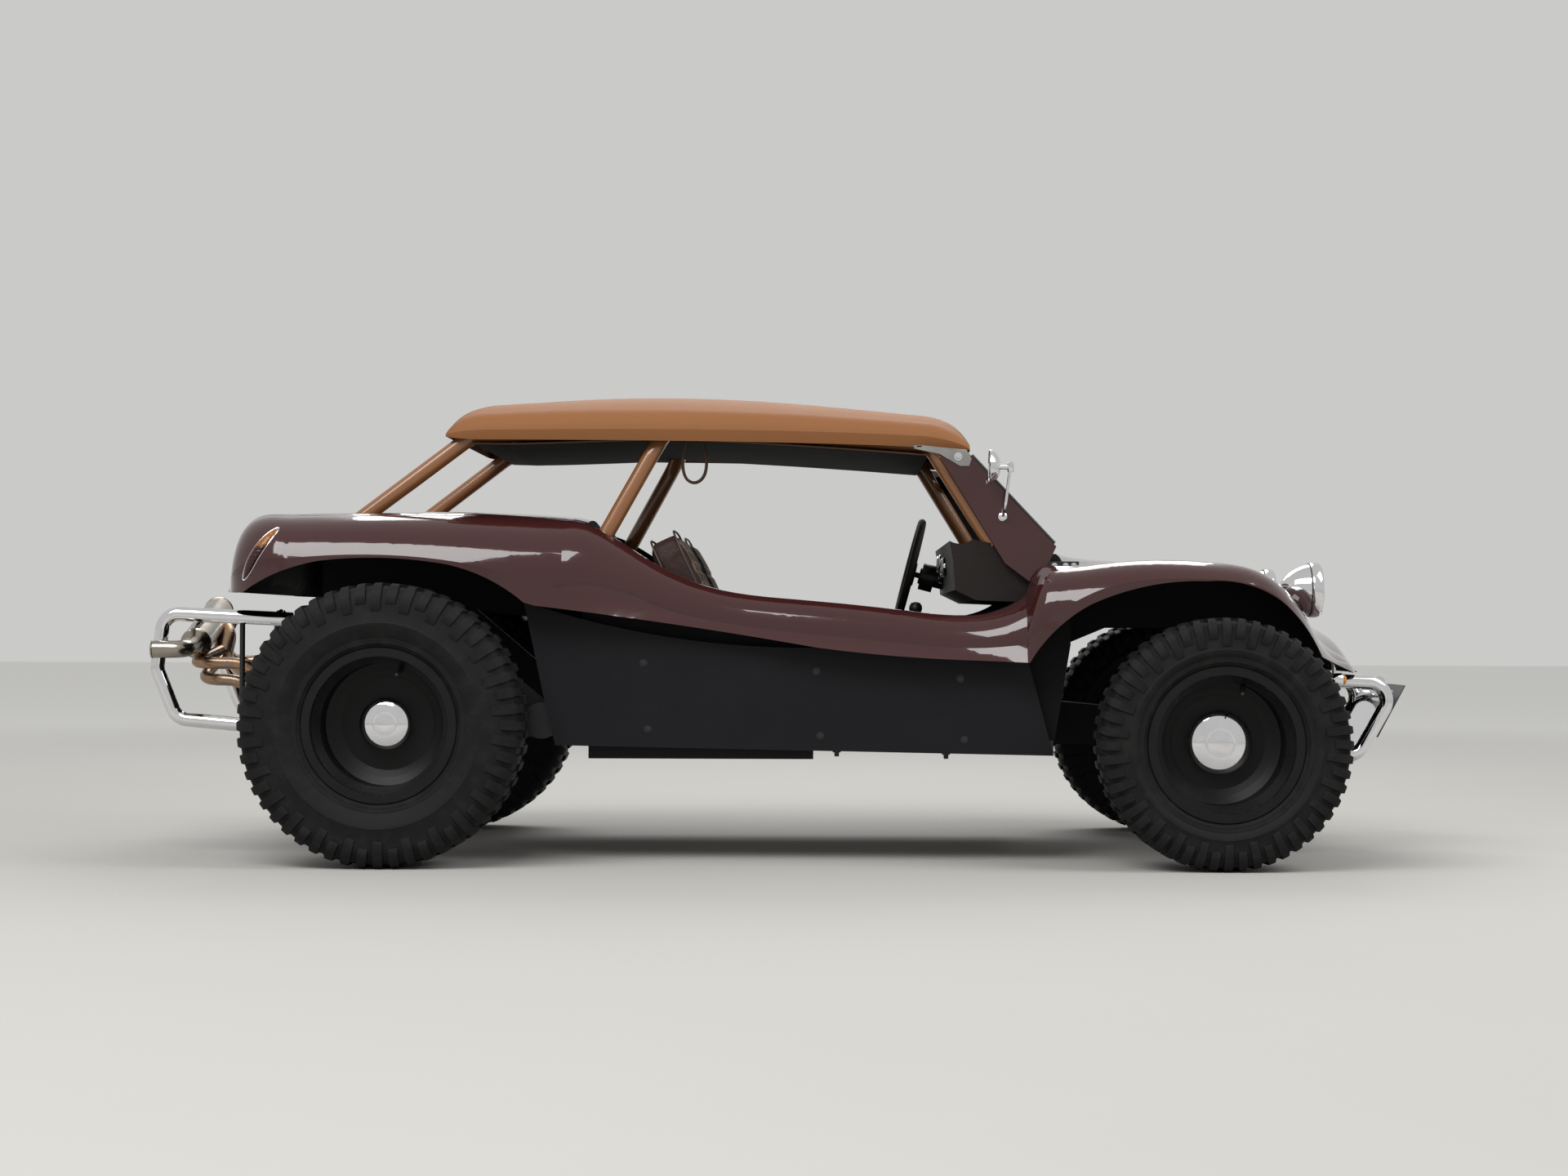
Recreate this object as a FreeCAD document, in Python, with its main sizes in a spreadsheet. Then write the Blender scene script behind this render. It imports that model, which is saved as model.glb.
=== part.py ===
import FreeCAD, Part
import math
import os

import Sketcher

# Dune buggy on a rear-engined floor pan: glass-fibre tub, hard top on a roll cage,
# deep-dished steel wheels with mud tyres.
# Frame: +X forward, +Y left, +Z up; origin on the ground, half way between the
# rearmost and the foremost tube of the bumpers, on the centre plane.  Millimetres.

os.makedirs("parts", exist_ok=True)
doc = FreeCAD.newDocument("DuneBuggy")
dim = doc.addObject("Spreadsheet::Sheet", "dim")

V = FreeCAD.Vector
X_AXIS = V(1, 0, 0)
Y_AXIS = V(0, 1, 0)
Z_AXIS = V(0, 0, 1)

# ---------------------------------------------------------------- sizes

SIZES = [
    # running gear
    ("wheelbase", 2400),
    ("rear_overhang", 757),
    ("front_overhang", 645),
    ("rear_tyre_radius", 406),
    ("rear_tyre_width", 290),
    ("rear_tread_width", 246),
    ("rear_wheel_offset", 762),
    ("rear_rim_width", 218),
    ("front_tyre_radius", 359.5),
    ("front_tyre_width", 245),
    ("front_tread_width", 216),
    ("front_wheel_offset", 770),
    ("front_rim_width", 196),
    ("rim_flange_radius", 220.5),
    ("rim_seat_radius", 203),
    ("rim_well_radius", 183),
    ("rim_wall", 6),
    ("rear_disc_inset", 58),
    ("front_disc_inset", 76),
    ("disc_weld_radius", 140),
    ("rear_cap_radius", 76.5),
    ("rear_cap_depth", 62),
    ("front_cap_radius", 93.5),
    ("front_cap_depth", 52),
    ("cap_wall", 3),
    ("hub_bore_radius", 36),
    ("drum_radius", 124),
    ("drum_depth", 62),
    ("stub_axle_radius", 16),
    ("running_fit", 0.05),
    ("kingpin_offset", 585),
    ("beam_offset", 195),
    ("beam_tube_radius", 30),
    ("beam_half_width", 440),
    ("beam_tube_rise", 60),
    ("beam_tube_drop", 90),
    ("ball_joint_rise", 76),
    ("ball_pin_radius", 8),
    ("steering_arm", 92),
    ("steering_arm_drop", 38),
    ("shock_top_rise", 250),
    ("torsion_x", 430),
    ("torsion_radius", 45),
    ("torsion_half", 560),
    # cockpit
    ("dash_half_width", 538),
    ("column_offset", 330),
    ("column_radius", 26),
    ("steering_wheel_x", 1538),
    ("steering_wheel_height", 868),
    ("steering_wheel_radius", 182),
    ("seat_offset", 325),
    ("seat_width", 440),
    # lamps
    ("headlamp_radius", 79),
    ("headlamp_x", 318),
    ("headlamp_offset", 420),
    ("headlamp_height", 804),
    # floor pan
    ("pan_front_x", 468),
    ("pan_rear_x", 480),
    ("pan_half_width", 600),
    ("pan_bottom_front", 316),
    ("pan_bottom_rear", 342),
    ("pan_thickness", 16),
    ("jack_rail_length", 660),
    ("jack_rail_width", 60),
    ("jack_rail_offset", 555),
    ("jack_rail_bottom", 302),
    ("tunnel_half_width", 80),
    ("tunnel_height", 150),
    ("side_panel_offset", 622),
    ("side_panel_thickness", 6),
    # tub
    ("tub_wall", 9),
    ("front_arch_gap", 105),
    ("rear_arch_gap", 72),
    ("waist_height", 590),
    ("wheel_well_inner", 445),
    ("cockpit_half_width", 583),
    ("cockpit_rear_x", 560),
    ("cowl_x", 425),
    # roof and cage
    ("roof_edge_height", 1244),
    ("roof_crown_height", 1403),
    ("roof_half_width", 532),
    ("roof_wall", 14),
    ("cage_tube_radius", 24),
    ("cage_tube_wall", 3),
    ("hoop_half_width", 476),
    ("screen_half_width", 566),
    ("screen_post_thickness", 26),
    ("glass_thickness", 6),
    # bumpers and exhaust
    ("bumper_tube_radius", 21),
    ("front_bumper_half", 243),
    ("rear_bumper_half", 450),
    ("plate_thickness", 3),
]

for row, (alias, value) in enumerate(SIZES, start=1):
    dim.set("A%d" % row, alias)
    dim.set("B%d" % row, str(value))
    dim.setAlias("B%d" % row, alias)
doc.recompute()

# stations of the two axles along the car
rear_x = -(dim.wheelbase + dim.front_overhang + dim.rear_overhang) / 2.0 + dim.rear_overhang
front_x = rear_x + dim.wheelbase
REAR_X = "(dim.rear_overhang - dim.front_overhang - dim.wheelbase) / 2"
FRONT_X = "(dim.rear_overhang - dim.front_overhang + dim.wheelbase) / 2"
front_arch_top = 2 * dim.front_tyre_radius + dim.front_arch_gap
rear_arch_top = 2 * dim.rear_tyre_radius + dim.rear_arch_gap

nodes = []


def keep(obj, label):
    obj.Label = label
    nodes.append(obj)
    return obj


def bind(obj, **expressions):
    for prop, text in expressions.items():
        obj.setExpression(prop.replace("__", "."), str(text))
    return obj


def place(obj, x="0", y="0", z="0"):
    obj.setExpression("Placement.Base.x", str(x))
    obj.setExpression("Placement.Base.y", str(y))
    obj.setExpression("Placement.Base.z", str(z))
    return obj


def value(text):
    return float(dim.evalExpression(str(text).replace("dim.", "")))


# ---------------------------------------------------------------- building helpers

def newBody(name):
    return doc.addObject("PartDesign::Body", name)


def originFeature(body, role):
    for feature in body.Origin.OriginFeatures:
        if feature.Role == role:
            return feature
    raise ValueError(role)


def newSketch(body, name, role):
    sketch = body.newObject("Sketcher::SketchObject", name)
    sketch.AttachmentSupport = [(originFeature(body, role), "")]
    sketch.MapMode = "FlatFace"
    return sketch


def arcBetween(p, q, radius):
    # arc from p to q; a positive radius bulges to the right of the way from p to q
    chord = q - p
    half = chord.Length / 2
    size = max(abs(radius), half * 1.0001)
    side = V(chord.y, -chord.x, 0).normalize()
    reach = math.sqrt(size * size - half * half)
    sign = 1 if radius > 0 else -1
    centre = (p + q) / 2 - side * reach * sign
    middle = centre + side * size * sign
    return Part.Arc(p, middle, q)


def drawProfile(sketch, rows):
    # rows: (x, y) or (x, y, radius of the arc to the next row), all as expressions
    points = [V(value(r[0]), value(r[1]), 0) for r in rows]
    count = len(rows)
    starts = []
    for i in range(count):
        p = points[i]
        q = points[(i + 1) % count]
        radius = value(rows[i][2]) if len(rows[i]) > 2 else 0
        if radius:
            arc = arcBetween(p, q, radius)
            geo = arc.toShape().Curve
            first = geo.parameter(p)
            last = geo.parameter(q)
            turn = geo.Axis.z > 0
            index = sketch.addGeometry(arc, False)
            ends = (1, 2) if (sketch.getPoint(index, 1) - p).Length < 1e-4 else (2, 1)
        else:
            index = sketch.addGeometry(Part.LineSegment(p, q), False)
            ends = (1, 2)
        starts.append((index, ends))
    for i in range(count):
        index, ends = starts[i]
        after, after_ends = starts[(i + 1) % count]
        sketch.addConstraint(Sketcher.Constraint("Coincident", index, ends[1], after, after_ends[0]))
    for i in range(count):
        index, ends = starts[i]
        for axis, text in (("DistanceX", rows[i][0]), ("DistanceY", rows[i][1])):
            number = sketch.addConstraint(
                Sketcher.Constraint(axis, -1, 1, index, ends[0], value(text)))
            sketch.setExpression("Constraints[%d]" % number, str(text))
        if len(rows[i]) > 2 and value(rows[i][2]):
            number = sketch.addConstraint(
                Sketcher.Constraint("Radius", index, abs(value(rows[i][2]))))
            sketch.setExpression("Constraints[%d]" % number, "abs(%s)" % rows[i][2])
    return sketch


def turned(name, rows):
    # a piece turned about its own Y axis; rows are (radius, station along the axis)
    body = newBody(name)
    sketch = newSketch(body, name + "Profile", "XY_Plane")
    drawProfile(sketch, rows)
    turn = body.newObject("PartDesign::Revolution", name + "Turn")
    turn.Profile = sketch
    turn.ReferenceAxis = (sketch, ["V_Axis"])
    turn.Angle = 360
    return body


def panel(name, rows, thickness, role="XZ_Plane"):
    # a flat piece cut to an outline and padded both ways from its sketch plane
    body = newBody(name)
    sketch = newSketch(body, name + "Outline", role)
    drawProfile(sketch, rows)
    pad = body.newObject("PartDesign::Pad", name + "Pad")
    pad.Profile = sketch
    pad.Midplane = True
    pad.setExpression("Length", thickness)
    return body


def box(name, size, corner):
    obj = doc.addObject("Part::Box", name)
    bind(obj, Length=size[0], Width=size[1], Height=size[2])
    return place(obj, *corner)


def rod(name, radius, length, base, axis="Z"):
    # a cylinder that starts at base and runs along +X, +Y or +Z
    obj = doc.addObject("Part::Cylinder", name)
    bind(obj, Radius=radius, Height=length)
    turn = {"X": (Y_AXIS, 90), "Y": (X_AXIS, -90), "Z": (Z_AXIS, 0)}[axis]
    obj.Placement = FreeCAD.Placement(V(0, 0, 0), FreeCAD.Rotation(*turn))
    return place(obj, *base)


def fused(name, parts):
    obj = doc.addObject("Part::MultiFuse", name)
    obj.Shapes = parts
    return obj


def cutBy(name, base, tool):
    obj = doc.addObject("Part::Cut", name)
    obj.Base = base
    obj.Tool = tool
    return obj


def mirrored(name, source):
    obj = doc.addObject("Part::Mirroring", name)
    obj.Source = source
    obj.Normal = Y_AXIS
    return obj


def compound(name, parts):
    obj = doc.addObject("Part::Compound", name)
    obj.Links = parts
    return obj


def bothSides(name, source):
    return compound(name, [source, mirrored(name + "Right", source)])


def made(name, shape):
    obj = doc.addObject("Part::Feature", name)
    obj.Shape = shape
    return obj


def bentPath(points, radius):
    # straight runs joined by tangent arcs
    edges = []
    last = points[0]
    for before, corner, after in zip(points, points[1:], points[2:]):
        into = (before - corner).normalize()
        out = (after - corner).normalize()
        half_turn = (math.pi - into.getAngle(out)) / 2
        trim = radius * math.tan(half_turn)
        start = corner + into * trim
        end = corner + out * trim
        bisector = (into + out).normalize()
        centre = corner + bisector * (radius / math.cos(half_turn))
        middle = centre - bisector * radius
        edges.append(Part.LineSegment(last, start).toShape())
        edges.append(Part.Arc(start, middle, end).toShape())
        last = end
    edges.append(Part.LineSegment(last, points[-1]).toShape())
    return Part.Wire(edges)


def bentTube(points, bend, radius, wall=0):
    path = bentPath(points, bend)
    start = path.Edges[0].valueAt(path.Edges[0].FirstParameter)
    along = (points[1] - points[0]).normalize()
    solids = []
    for size in ([radius, radius - wall] if wall else [radius]):
        ring = Part.Wire(Part.makeCircle(size, start, along))
        solids.append(path.makePipeShell([ring], True, False, 2))
    return solids[0].cut(solids[1]) if wall else solids[0]


def straightTube(p, q, radius):
    return Part.makeCylinder(radius, (q - p).Length, p, q - p)


# ---------------------------------------------------------------- glass-fibre mouldings

def halfProfile(row, wall):
    # corner points of one side of a cross-section, from the lower edge to the centre plane
    lip = V(0, row["lip_y"] - wall, row["lip_z"] - (40 if wall else 0))
    side = V(0, row["side_y"] - wall, row["side_z"])
    crown = V(0, row["crown_y"] - wall * 0.6, row["crown_z"] - wall)
    valley = V(0, row["valley_y"], row["valley_z"] - wall)
    centre = V(0, 0, row["centre_z"] - wall)
    return [lip, side, crown, valley, centre]


def bulged(p, q, bulge):
    # arc from p to q whose middle stands off the chord by a share of its length
    chord = q - p
    normal = V(0, chord.z, -chord.y)
    return (p + q) / 2 + normal * bulge


def mouldedSection(row, bulges, wall=0):
    half = halfProfile(row, wall)
    edges = []
    left = []
    for p, q, bulge in zip(half, half[1:], bulges):
        left.append((p, bulged(p, q, bulge), q))
    right = [(V(0, -q.y, q.z), V(0, -m.y, m.z), V(0, -p.y, p.z)) for p, m, q in reversed(left)]
    for p, m, q in left + right:
        edges.append(Part.Arc(p, m, q).toShape())
    edges.append(Part.LineSegment(right[-1][2], left[0][0]).toShape())
    wire = Part.Wire(edges)
    wire.translate(V(row["x"], 0, 0))
    return wire


def facingOut(solid):
    return solid.reversed() if solid.Volume < 0 else solid


def moulding(rows, bulges, wall, open_rear=True, open_front=True):
    # hollow shell through the cross-sections, open below
    outer = facingOut(Part.makeLoft([mouldedSection(r, bulges) for r in rows], True, False))
    inner_rows = []
    for i, row in enumerate(rows):
        # where the skin falls away steeply the wall is also measured along the car
        after = rows[min(i + 1, len(rows) - 1)]
        before = rows[max(i - 1, 0)]
        run = after["x"] - before["x"]
        fall = (after["centre_z"] - before["centre_z"]) / run
        taper = (after["side_y"] - before["side_y"]) / run
        steep = fall if abs(fall) > abs(taper) else taper
        inner_row = dict(row)
        if i == 0 and open_rear or i == len(rows) - 1 and open_front:
            steep = 0
        inner_row["x"] += wall * steep / math.sqrt(1 + steep * steep)
        inner_rows.append(inner_row)
    if not open_rear:
        inner_rows[0]["x"] = max(inner_rows[0]["x"], rows[0]["x"] + wall)
    if not open_front:
        inner_rows[-1]["x"] = min(inner_rows[-1]["x"], rows[-1]["x"] - wall)
    inner = Part.makeLoft([mouldedSection(r, bulges, wall) for r in inner_rows], True, False)
    return outer, facingOut(inner)


COLUMNS = ("x", "lip_y", "lip_z", "side_y", "side_z", "crown_y", "crown_z",
           "valley_y", "valley_z", "centre_z")


def table(rows, x0, z0):
    # x counts from x0 and heights from z0
    out = []
    for row in rows:
        entry = dict(zip(COLUMNS, row))
        entry["x"] += x0
        for key in ("lip_z", "side_z", "crown_z", "valley_z", "centre_z"):
            entry[key] += z0
        out.append(entry)
    return out


# x from the rear axle, heights from the top of the rear wheel arch
REAR_ROWS = [
    (-290, 738, -110, 734, 0, 578, 128, 480, 130, 136),
    (0, 752, -110, 744, 10, 574, 133, 480, 134, 138),
    (260, 748, -150, 736, -20, 575, 131, 490, 132, 134),
    (500, 722, -170, 706, -90, 592, 112, 540, 116, 118),
]
TAIL_ROWS = [
    (-504, 540, -110, 538, -96, 476, -72, 400, -70, -68),
    (-480, 612, -110, 610, -52, 536, 22, 430, 28, 32),
    (-445, 668, -110, 666, -24, 566, 98, 450, 104, 110),
    (-390, 712, -110, 706, -6, 576, 126, 468, 128, 134),
    (-290, 738, -110, 734, 0, 578, 128, 480, 130, 136),
]
# x from the rear axle, heights from the waist
SIDE_ROWS = [
    (500, 722, 124, 706, 204, 592, 406, 540, 410, 412),
    (630, 714, 112, 686, 190, 606, 366, 560, 366, 366),
    (760, 710, 96, 676, 160, 612, 286, 565, 284, 284),
    (900, 708, 70, 672, 124, 613, 223, 570, 218, 216),
    (1180, 706, 36, 670, 84, 612, 180, 570, 174, 172),
    (1500, 706, 6, 672, 52, 612, 148, 570, 142, 140),
    (1730, 708, -10, 678, 40, 612, 137, 568, 138, 150),
    (1850, 722, -16, 694, 50, 614, 186, 562, 196, 310),
]
# x from the front axle, heights from the top of the front wheel arch
FRONT_ROWS = [
    (-550, 722, -250, 694, -184, 614, -48, 562, -38, 76),
    (-450, 744, -260, 736, -80, 628, 38, 520, 44, 100),
    (-340, 748, -270, 744, -24, 614, 50, 450, 28, 80),
    (-200, 750, -280, 746, 4, 600, 58, 420, 16, 72),
    (0, 750, -280, 744, 4, 594, 49, 400, -10, 50),
    (130, 738, -280, 730, -22, 582, 22, 388, -34, 24),
    (230, 704, -280, 696, -104, 552, -50, 368, -78, -12),
    (315, 628, -280, 612, -222, 490, -164, 330, -140, -76),
    (400, 470, -280, 452, -262, 376, -232, 256, -198, -134),
    (470, 320, -280, 300, -270, 250, -256, 176, -234, -190),
    (497, 210, -280, 196, -274, 160, -266, 100, -256, -244),
]
BULGES = (-0.04, 0.16, 0.08, 0.04)


# each row: x and z of the end of the run, then x and z of its middle where it is an arc
REAR_LOW_CUT = [
    (-560, 790, None), (-300, 786, None), (-240, 640, None), (425, 640, None), (1241, 600, None),
    (1700, 594, None),
]
REAR_CUT = [
    (-560, 790, None), (-430, 786, None), (-200, 877, (-304, 849)), (170, 868, (-20, 886)),
    (394, 758, (299, 822)), (425, 749, None), (1241, 630, (815, 698)), (1700, 594, (1470, 606)),
]
ARCH_CUT = [
    (-544, 588, None), (-373, 755, (-478, 675)), (-34, 824, (-221, 807)),
    (176, 770, (100, 808)), (316, 606, (256, 694)), (462, 556, None), (600, 556, None),
]
NOSE_CUT = [
    (-544, 588, None), (-300, 690, None), (100, 690, None), (316, 606, None), (462, 556, None),
    (600, 556, None),
]


def underCutter(rear_cut, front_cut, y0, y1):
    # everything below the wheel arches and the lower edge of the tub, between two lengthwise planes
    points = []
    for rows, x0, lift in ((rear_cut, rear_x, rear_arch_top - 884),
                           (front_cut, front_x, front_arch_top - 824)):
        for x, z, mid in rows:
            points.append((V(x0 + x, y0, z + lift),
                           V(x0 + mid[0], y0, mid[1] + lift) if mid else None))
    edges = []
    for (p, _), (q, mid) in zip(points, points[1:]):
        if mid:
            edges.append(Part.Arc(p, mid, q).toShape())
        else:
            edges.append(Part.LineSegment(p, q).toShape())
    first = points[0][0]
    last = points[-1][0]
    for p, q in ((last, V(last.x, y0, 0)), (V(last.x, y0, 0), V(first.x, y0, 0)),
                 (V(first.x, y0, 0), first)):
        edges.append(Part.LineSegment(p, q).toShape())
    return facingOut(Part.Face(Part.Wire(edges)).extrude(V(0, y1 - y0, 0)))


def plateAcross(points, half):
    # a prism through the whole width on an outline seen from the side
    corners = [V(x, -half, z) for x, z in points]
    face = Part.Face(Part.makePolygon(corners + [corners[0]]))
    return facingOut(face.extrude(V(0, 2 * half, 0)))


def buildTub():
    wall = dim.tub_wall
    tail_rows = table(TAIL_ROWS, rear_x, rear_arch_top)
    rear_rows = table(REAR_ROWS, rear_x, rear_arch_top)
    side_rows = table(SIDE_ROWS, rear_x, dim.waist_height)
    front_rows = table(FRONT_ROWS, front_x, front_arch_top)
    outers = []
    inners = []
    for rows, rear_open, front_open in ((tail_rows, False, True), (rear_rows, True, True),
                                        (side_rows, True, True), (front_rows, True, False)):
        outer, inner = moulding(rows, BULGES, wall, rear_open, front_open)
        outers.append(outer)
        inners.append(inner)
    outer = outers[0].fuse(outers[1:])
    inner = inners[0].fuse(inners[1:])
    # upright walls round the cockpit: side walls, bulkhead and fire wall
    x0 = rear_x + dim.cockpit_rear_x
    x1 = front_x - dim.cowl_x
    half = dim.cockpit_half_width
    floor_z = dim.pan_bottom_front
    ring = Part.makeBox(x1 - x0 + 2 * wall, 2 * (half + wall), 900, V(x0 - wall, -half - wall, floor_z))
    ring = ring.cut(Part.makeBox(x1 - x0, 2 * half, 900, V(x0, -half, floor_z)))
    # and walls between the wheels and the middle of the car
    well = dim.wheel_well_inner
    partitions = [ring]
    for side in (1, -1):
        y = side * (well - wall / 2) - wall / 2
        partitions.append(Part.makeBox(x0 - rear_x + 240, wall, 900, V(rear_x - 240, y, floor_z)))
        partitions.append(Part.makeBox(front_x + 330 - x1, wall, 900, V(x1, y, floor_z)))
    shell = outer.cut(inner.cut(partitions))
    shell = shell.cut([underCutter(REAR_CUT, ARCH_CUT, -1200, -well),
                       underCutter(REAR_LOW_CUT, NOSE_CUT, -well, well),
                       underCutter(REAR_CUT, ARCH_CUT, well, 1200)])
    # the cockpit opening, seen from above
    shell = shell.cut(Part.makeBox(x1 - x0, 2 * half, 900, V(x0, -half, 400)))
    # what the walls have below the moulding's edge
    low = [(x0 - wall, rear_arch_top - 100), (rear_x + 1241, dim.waist_height + 88),
           (rear_x + 1700, dim.waist_height + 44), (rear_x + 1856, dim.waist_height + 44),
           (x1 + wall, front_arch_top - 60)]
    # they stand on the floor pan, and a sloping toe board closes the front
    toe = (x1 + wall, dim.waist_height + 50)
    foot = (front_x - dim.pan_front_x, dim.pan_bottom_front + dim.pan_thickness - 4)
    heel = (x0 - wall, dim.pan_bottom_rear + dim.pan_thickness - 4)
    below = plateAcross(low + [toe, foot, heel], half + wall)
    board = plateAcross([(foot[0] - wall, foot[1]), foot, toe, (toe[0] - wall, toe[1])], half + wall)
    tub = shell.fuse([ring.common(below), board])
    return tub.removeSplitter()


tub_shape = buildTub()


# ---------------------------------------------------------------- roof

# x from the rear axle; heights from the lower edge of the roof
ROOF_TAIL = [
    (134, 500, 10, 500, 14, 470, 20, 300, 26, 34),
    (172, 520, 3, 524, 22, 478, 60, 300, 82, 96),
    (214, 528, 0, 534, 26, 484, 76, 300, 104, 118),
    (262, 530, -1, 537, 28, 487, 82, 300, 116, 130),
]
ROOF_MIDDLE = [
    (262, 530, -1, 537, 28, 487, 82, 300, 116, 130),
    (580, 532, -2, 540, 30, 490, 92, 300, 135, 154),
    (900, 532, -5, 540, 29, 490, 91, 300, 136, 156),
    (1230, 532, -11, 540, 23, 490, 78, 300, 116, 136),
    (1560, 532, -22, 540, 10, 488, 54, 300, 86, 104),
]
ROOF_NOSE = [
    (1560, 532, -22, 540, 10, 488, 54, 300, 86, 104),
    (1610, 531, -25, 538, 2, 486, 44, 300, 74, 92),
    (1655, 528, -29, 533, -10, 480, 22, 300, 50, 66),
    (1692, 522, -33, 524, -28, 474, -12, 300, 0, 6),
]


def buildRoof():
    grow = (dim.roof_crown_height - dim.roof_edge_height) / 159.0
    outers = []
    inners = []
    for source, rear_open, front_open in ((ROOF_TAIL, False, True), (ROOF_MIDDLE, True, True),
                                          (ROOF_NOSE, True, False)):
        rows = table(source, rear_x, dim.roof_edge_height)
        for row in rows:
            for key in ("crown_z", "valley_z", "centre_z"):
                row[key] = dim.roof_edge_height + (row[key] - dim.roof_edge_height) * grow
            for key in ("lip_y", "side_y", "crown_y", "valley_y"):
                row[key] *= dim.roof_half_width / 532.0
        outer, inner = moulding(rows, (0.02, 0.14, 0.05, 0.02), dim.roof_wall,
                                rear_open, front_open)
        outers.append(outer)
        inners.append(inner)
    return outers[0].fuse(outers[1:]).cut(inners[0].fuse(inners[1:]))


roof = keep(made("RoofShell", buildRoof()), "roof_shell")


# ---------------------------------------------------------------- wheels

def atWheel(body, end, side):
    # side +1 is the left wheel; the outboard face of the piece looks along its own +Y
    if side < 0:
        body.Placement = FreeCAD.Placement(V(0, 0, 0), FreeCAD.Rotation(Z_AXIS, 180))
    station = FRONT_X if end == "front" else REAR_X
    place(body, station, "%d * dim.%s_wheel_offset" % (side, end), "dim.%s_tyre_radius" % end)
    return body


def buildWheel(end, side):
    tag = end.title() + ("Left" if side > 0 else "Right")
    node = end + ("_left" if side > 0 else "_right")
    outer = "dim.%s_tyre_radius" % end
    half = "dim.%s_tyre_width / 2" % end
    tread = "dim.%s_tread_width / 2" % end
    rim = "dim.%s_rim_width / 2" % end
    disc = "-dim.%s_disc_inset" % end
    gap = "0.3"
    tyre = turned("Tyre" + tag, [
        ("dim.rim_seat_radius + " + gap, "-%s + dim.rim_wall + %s" % (rim, gap)),
        ("dim.rim_flange_radius + 6", "-%s + dim.rim_wall + %s" % (rim, gap), "-140"),
        ("(dim.rim_flange_radius + %s) / 2" % outer, "-" + half, "-160"),
        (outer + " - 30", "-%s - 6" % tread),
        (outer, "-%s + 14" % tread),
        (outer, tread + " - 14"),
        (outer + " - 30", tread + " + 6", "-160"),
        ("(dim.rim_flange_radius + %s) / 2" % outer, half, "-140"),
        ("dim.rim_flange_radius + 6", "%s - dim.rim_wall - %s" % (rim, gap)),
        ("dim.rim_seat_radius + " + gap, "%s - dim.rim_wall - %s" % (rim, gap)),
    ])
    keep(atWheel(tyre, end, side), "tyre_" + node)
    wall = "dim.rim_wall"
    well = "dim.rim_well_radius"
    seat = "dim.rim_seat_radius"
    flange = "dim.rim_flange_radius"
    steel = turned("Rim" + tag, [
        (flange, "-%s" % rim),
        (flange, "-%s + %s" % (rim, wall)),
        (seat, "-%s + %s" % (rim, wall)),
        (seat, "-%s + 30" % rim),
        (well, "-%s + 48" % rim),
        (well, "%s - 56" % rim),
        (seat, "%s - 30" % rim),
        (seat, "%s - %s" % (rim, wall)),
        (flange, "%s - %s" % (rim, wall)),
        (flange, "%s" % rim),
        ("%s - %s" % (seat, wall), "%s" % rim),
        ("%s - %s" % (seat, wall), "%s - 33" % rim),
        ("%s - %s" % (well, wall), "%s - 59" % rim),
        ("%s - %s" % (well, wall), "%s + 20" % disc),
        ("dim.disc_weld_radius + 14", "%s + 8" % disc),
        ("dim.disc_weld_radius - 6", disc),
        ("dim.hub_bore_radius", disc),
        ("dim.hub_bore_radius", "%s - %s" % (disc, wall)),
        ("dim.disc_weld_radius - 2", "%s - %s" % (disc, wall)),
        ("dim.disc_weld_radius + 20", "%s" % disc),
        ("%s - %s" % (well, wall), "%s" % disc),
        ("%s - %s" % (well, wall), "-%s + 50" % rim) if end == "rear" else
        ("%s - %s" % (well, wall), "%s - 1" % disc),
        ("%s - %s" % (seat, wall), "-%s + 30" % rim) if end == "rear" else
        ("%s - %s" % (seat, wall), "%s - 3" % disc),
        ("%s - %s" % (seat, wall), "-%s" % rim),
    ])
    keep(atWheel(steel, end, side), "rim_" + node)
    radius = "dim.%s_cap_radius" % end
    depth = "dim.%s_cap_depth" % end
    skin = "dim.cap_wall"
    lift = disc + " + 0.3"
    cap = turned("HubCap" + tag, [
        (radius, lift),
        (radius, "%s + 6" % lift, "(%s ^ 2 + %s ^ 2) / (2 * %s)" % (radius, "(%s - 6)" % depth,
                                                                  "(%s - 6)" % depth)),
        ("10", "%s + %s" % (lift, depth)),
        ("0", "%s + %s" % (lift, depth)),
        ("0", "%s + %s - %s" % (lift, depth, skin)),
        ("10", "%s + %s - %s" % (lift, depth, skin), "-((%s - %s) ^ 2 + (%s - 6) ^ 2) / (2 * (%s - 6))"
         % (radius, skin, depth, depth)),
        ("%s - %s" % (radius, skin), "%s + 6 - %s" % (lift, skin)),
        ("%s - %s" % (radius, skin), lift),
    ])
    keep(atWheel(cap, end, side), "hub_cap_" + node)
    drum = turned("Drum" + tag, [
        ("dim.stub_axle_radius + dim.running_fit", "%s - %s - dim.drum_depth" % (disc, wall)),
        ("50", "%s - %s - dim.drum_depth" % (disc, wall)),
        ("50", "%s - %s - 18" % (disc, wall)),
        ("dim.drum_radius - 12", "%s - %s - 12" % (disc, wall)),
        ("dim.drum_radius - 12", "%s - %s - dim.drum_depth + 8" % (disc, wall)),
        ("dim.drum_radius", "%s - %s - dim.drum_depth + 8" % (disc, wall)),
        ("dim.drum_radius", "%s - %s - 0.3" % (disc, wall)),
        ("dim.hub_bore_radius + 6", "%s - %s - 0.3" % (disc, wall)),
        ("dim.hub_bore_radius - 2", "%s - %s - 0.3" % (disc, wall)),
        ("dim.hub_bore_radius - 2", "%s + 12" % disc),
        ("dim.stub_axle_radius + dim.running_fit", "%s + 12" % disc),
    ])
    keep(atWheel(drum, end, side), "brake_drum_" + node)


for end in ("front", "rear"):
    for side in (1, -1):
        buildWheel(end, side)


# ---------------------------------------------------------------- front running gear

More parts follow.
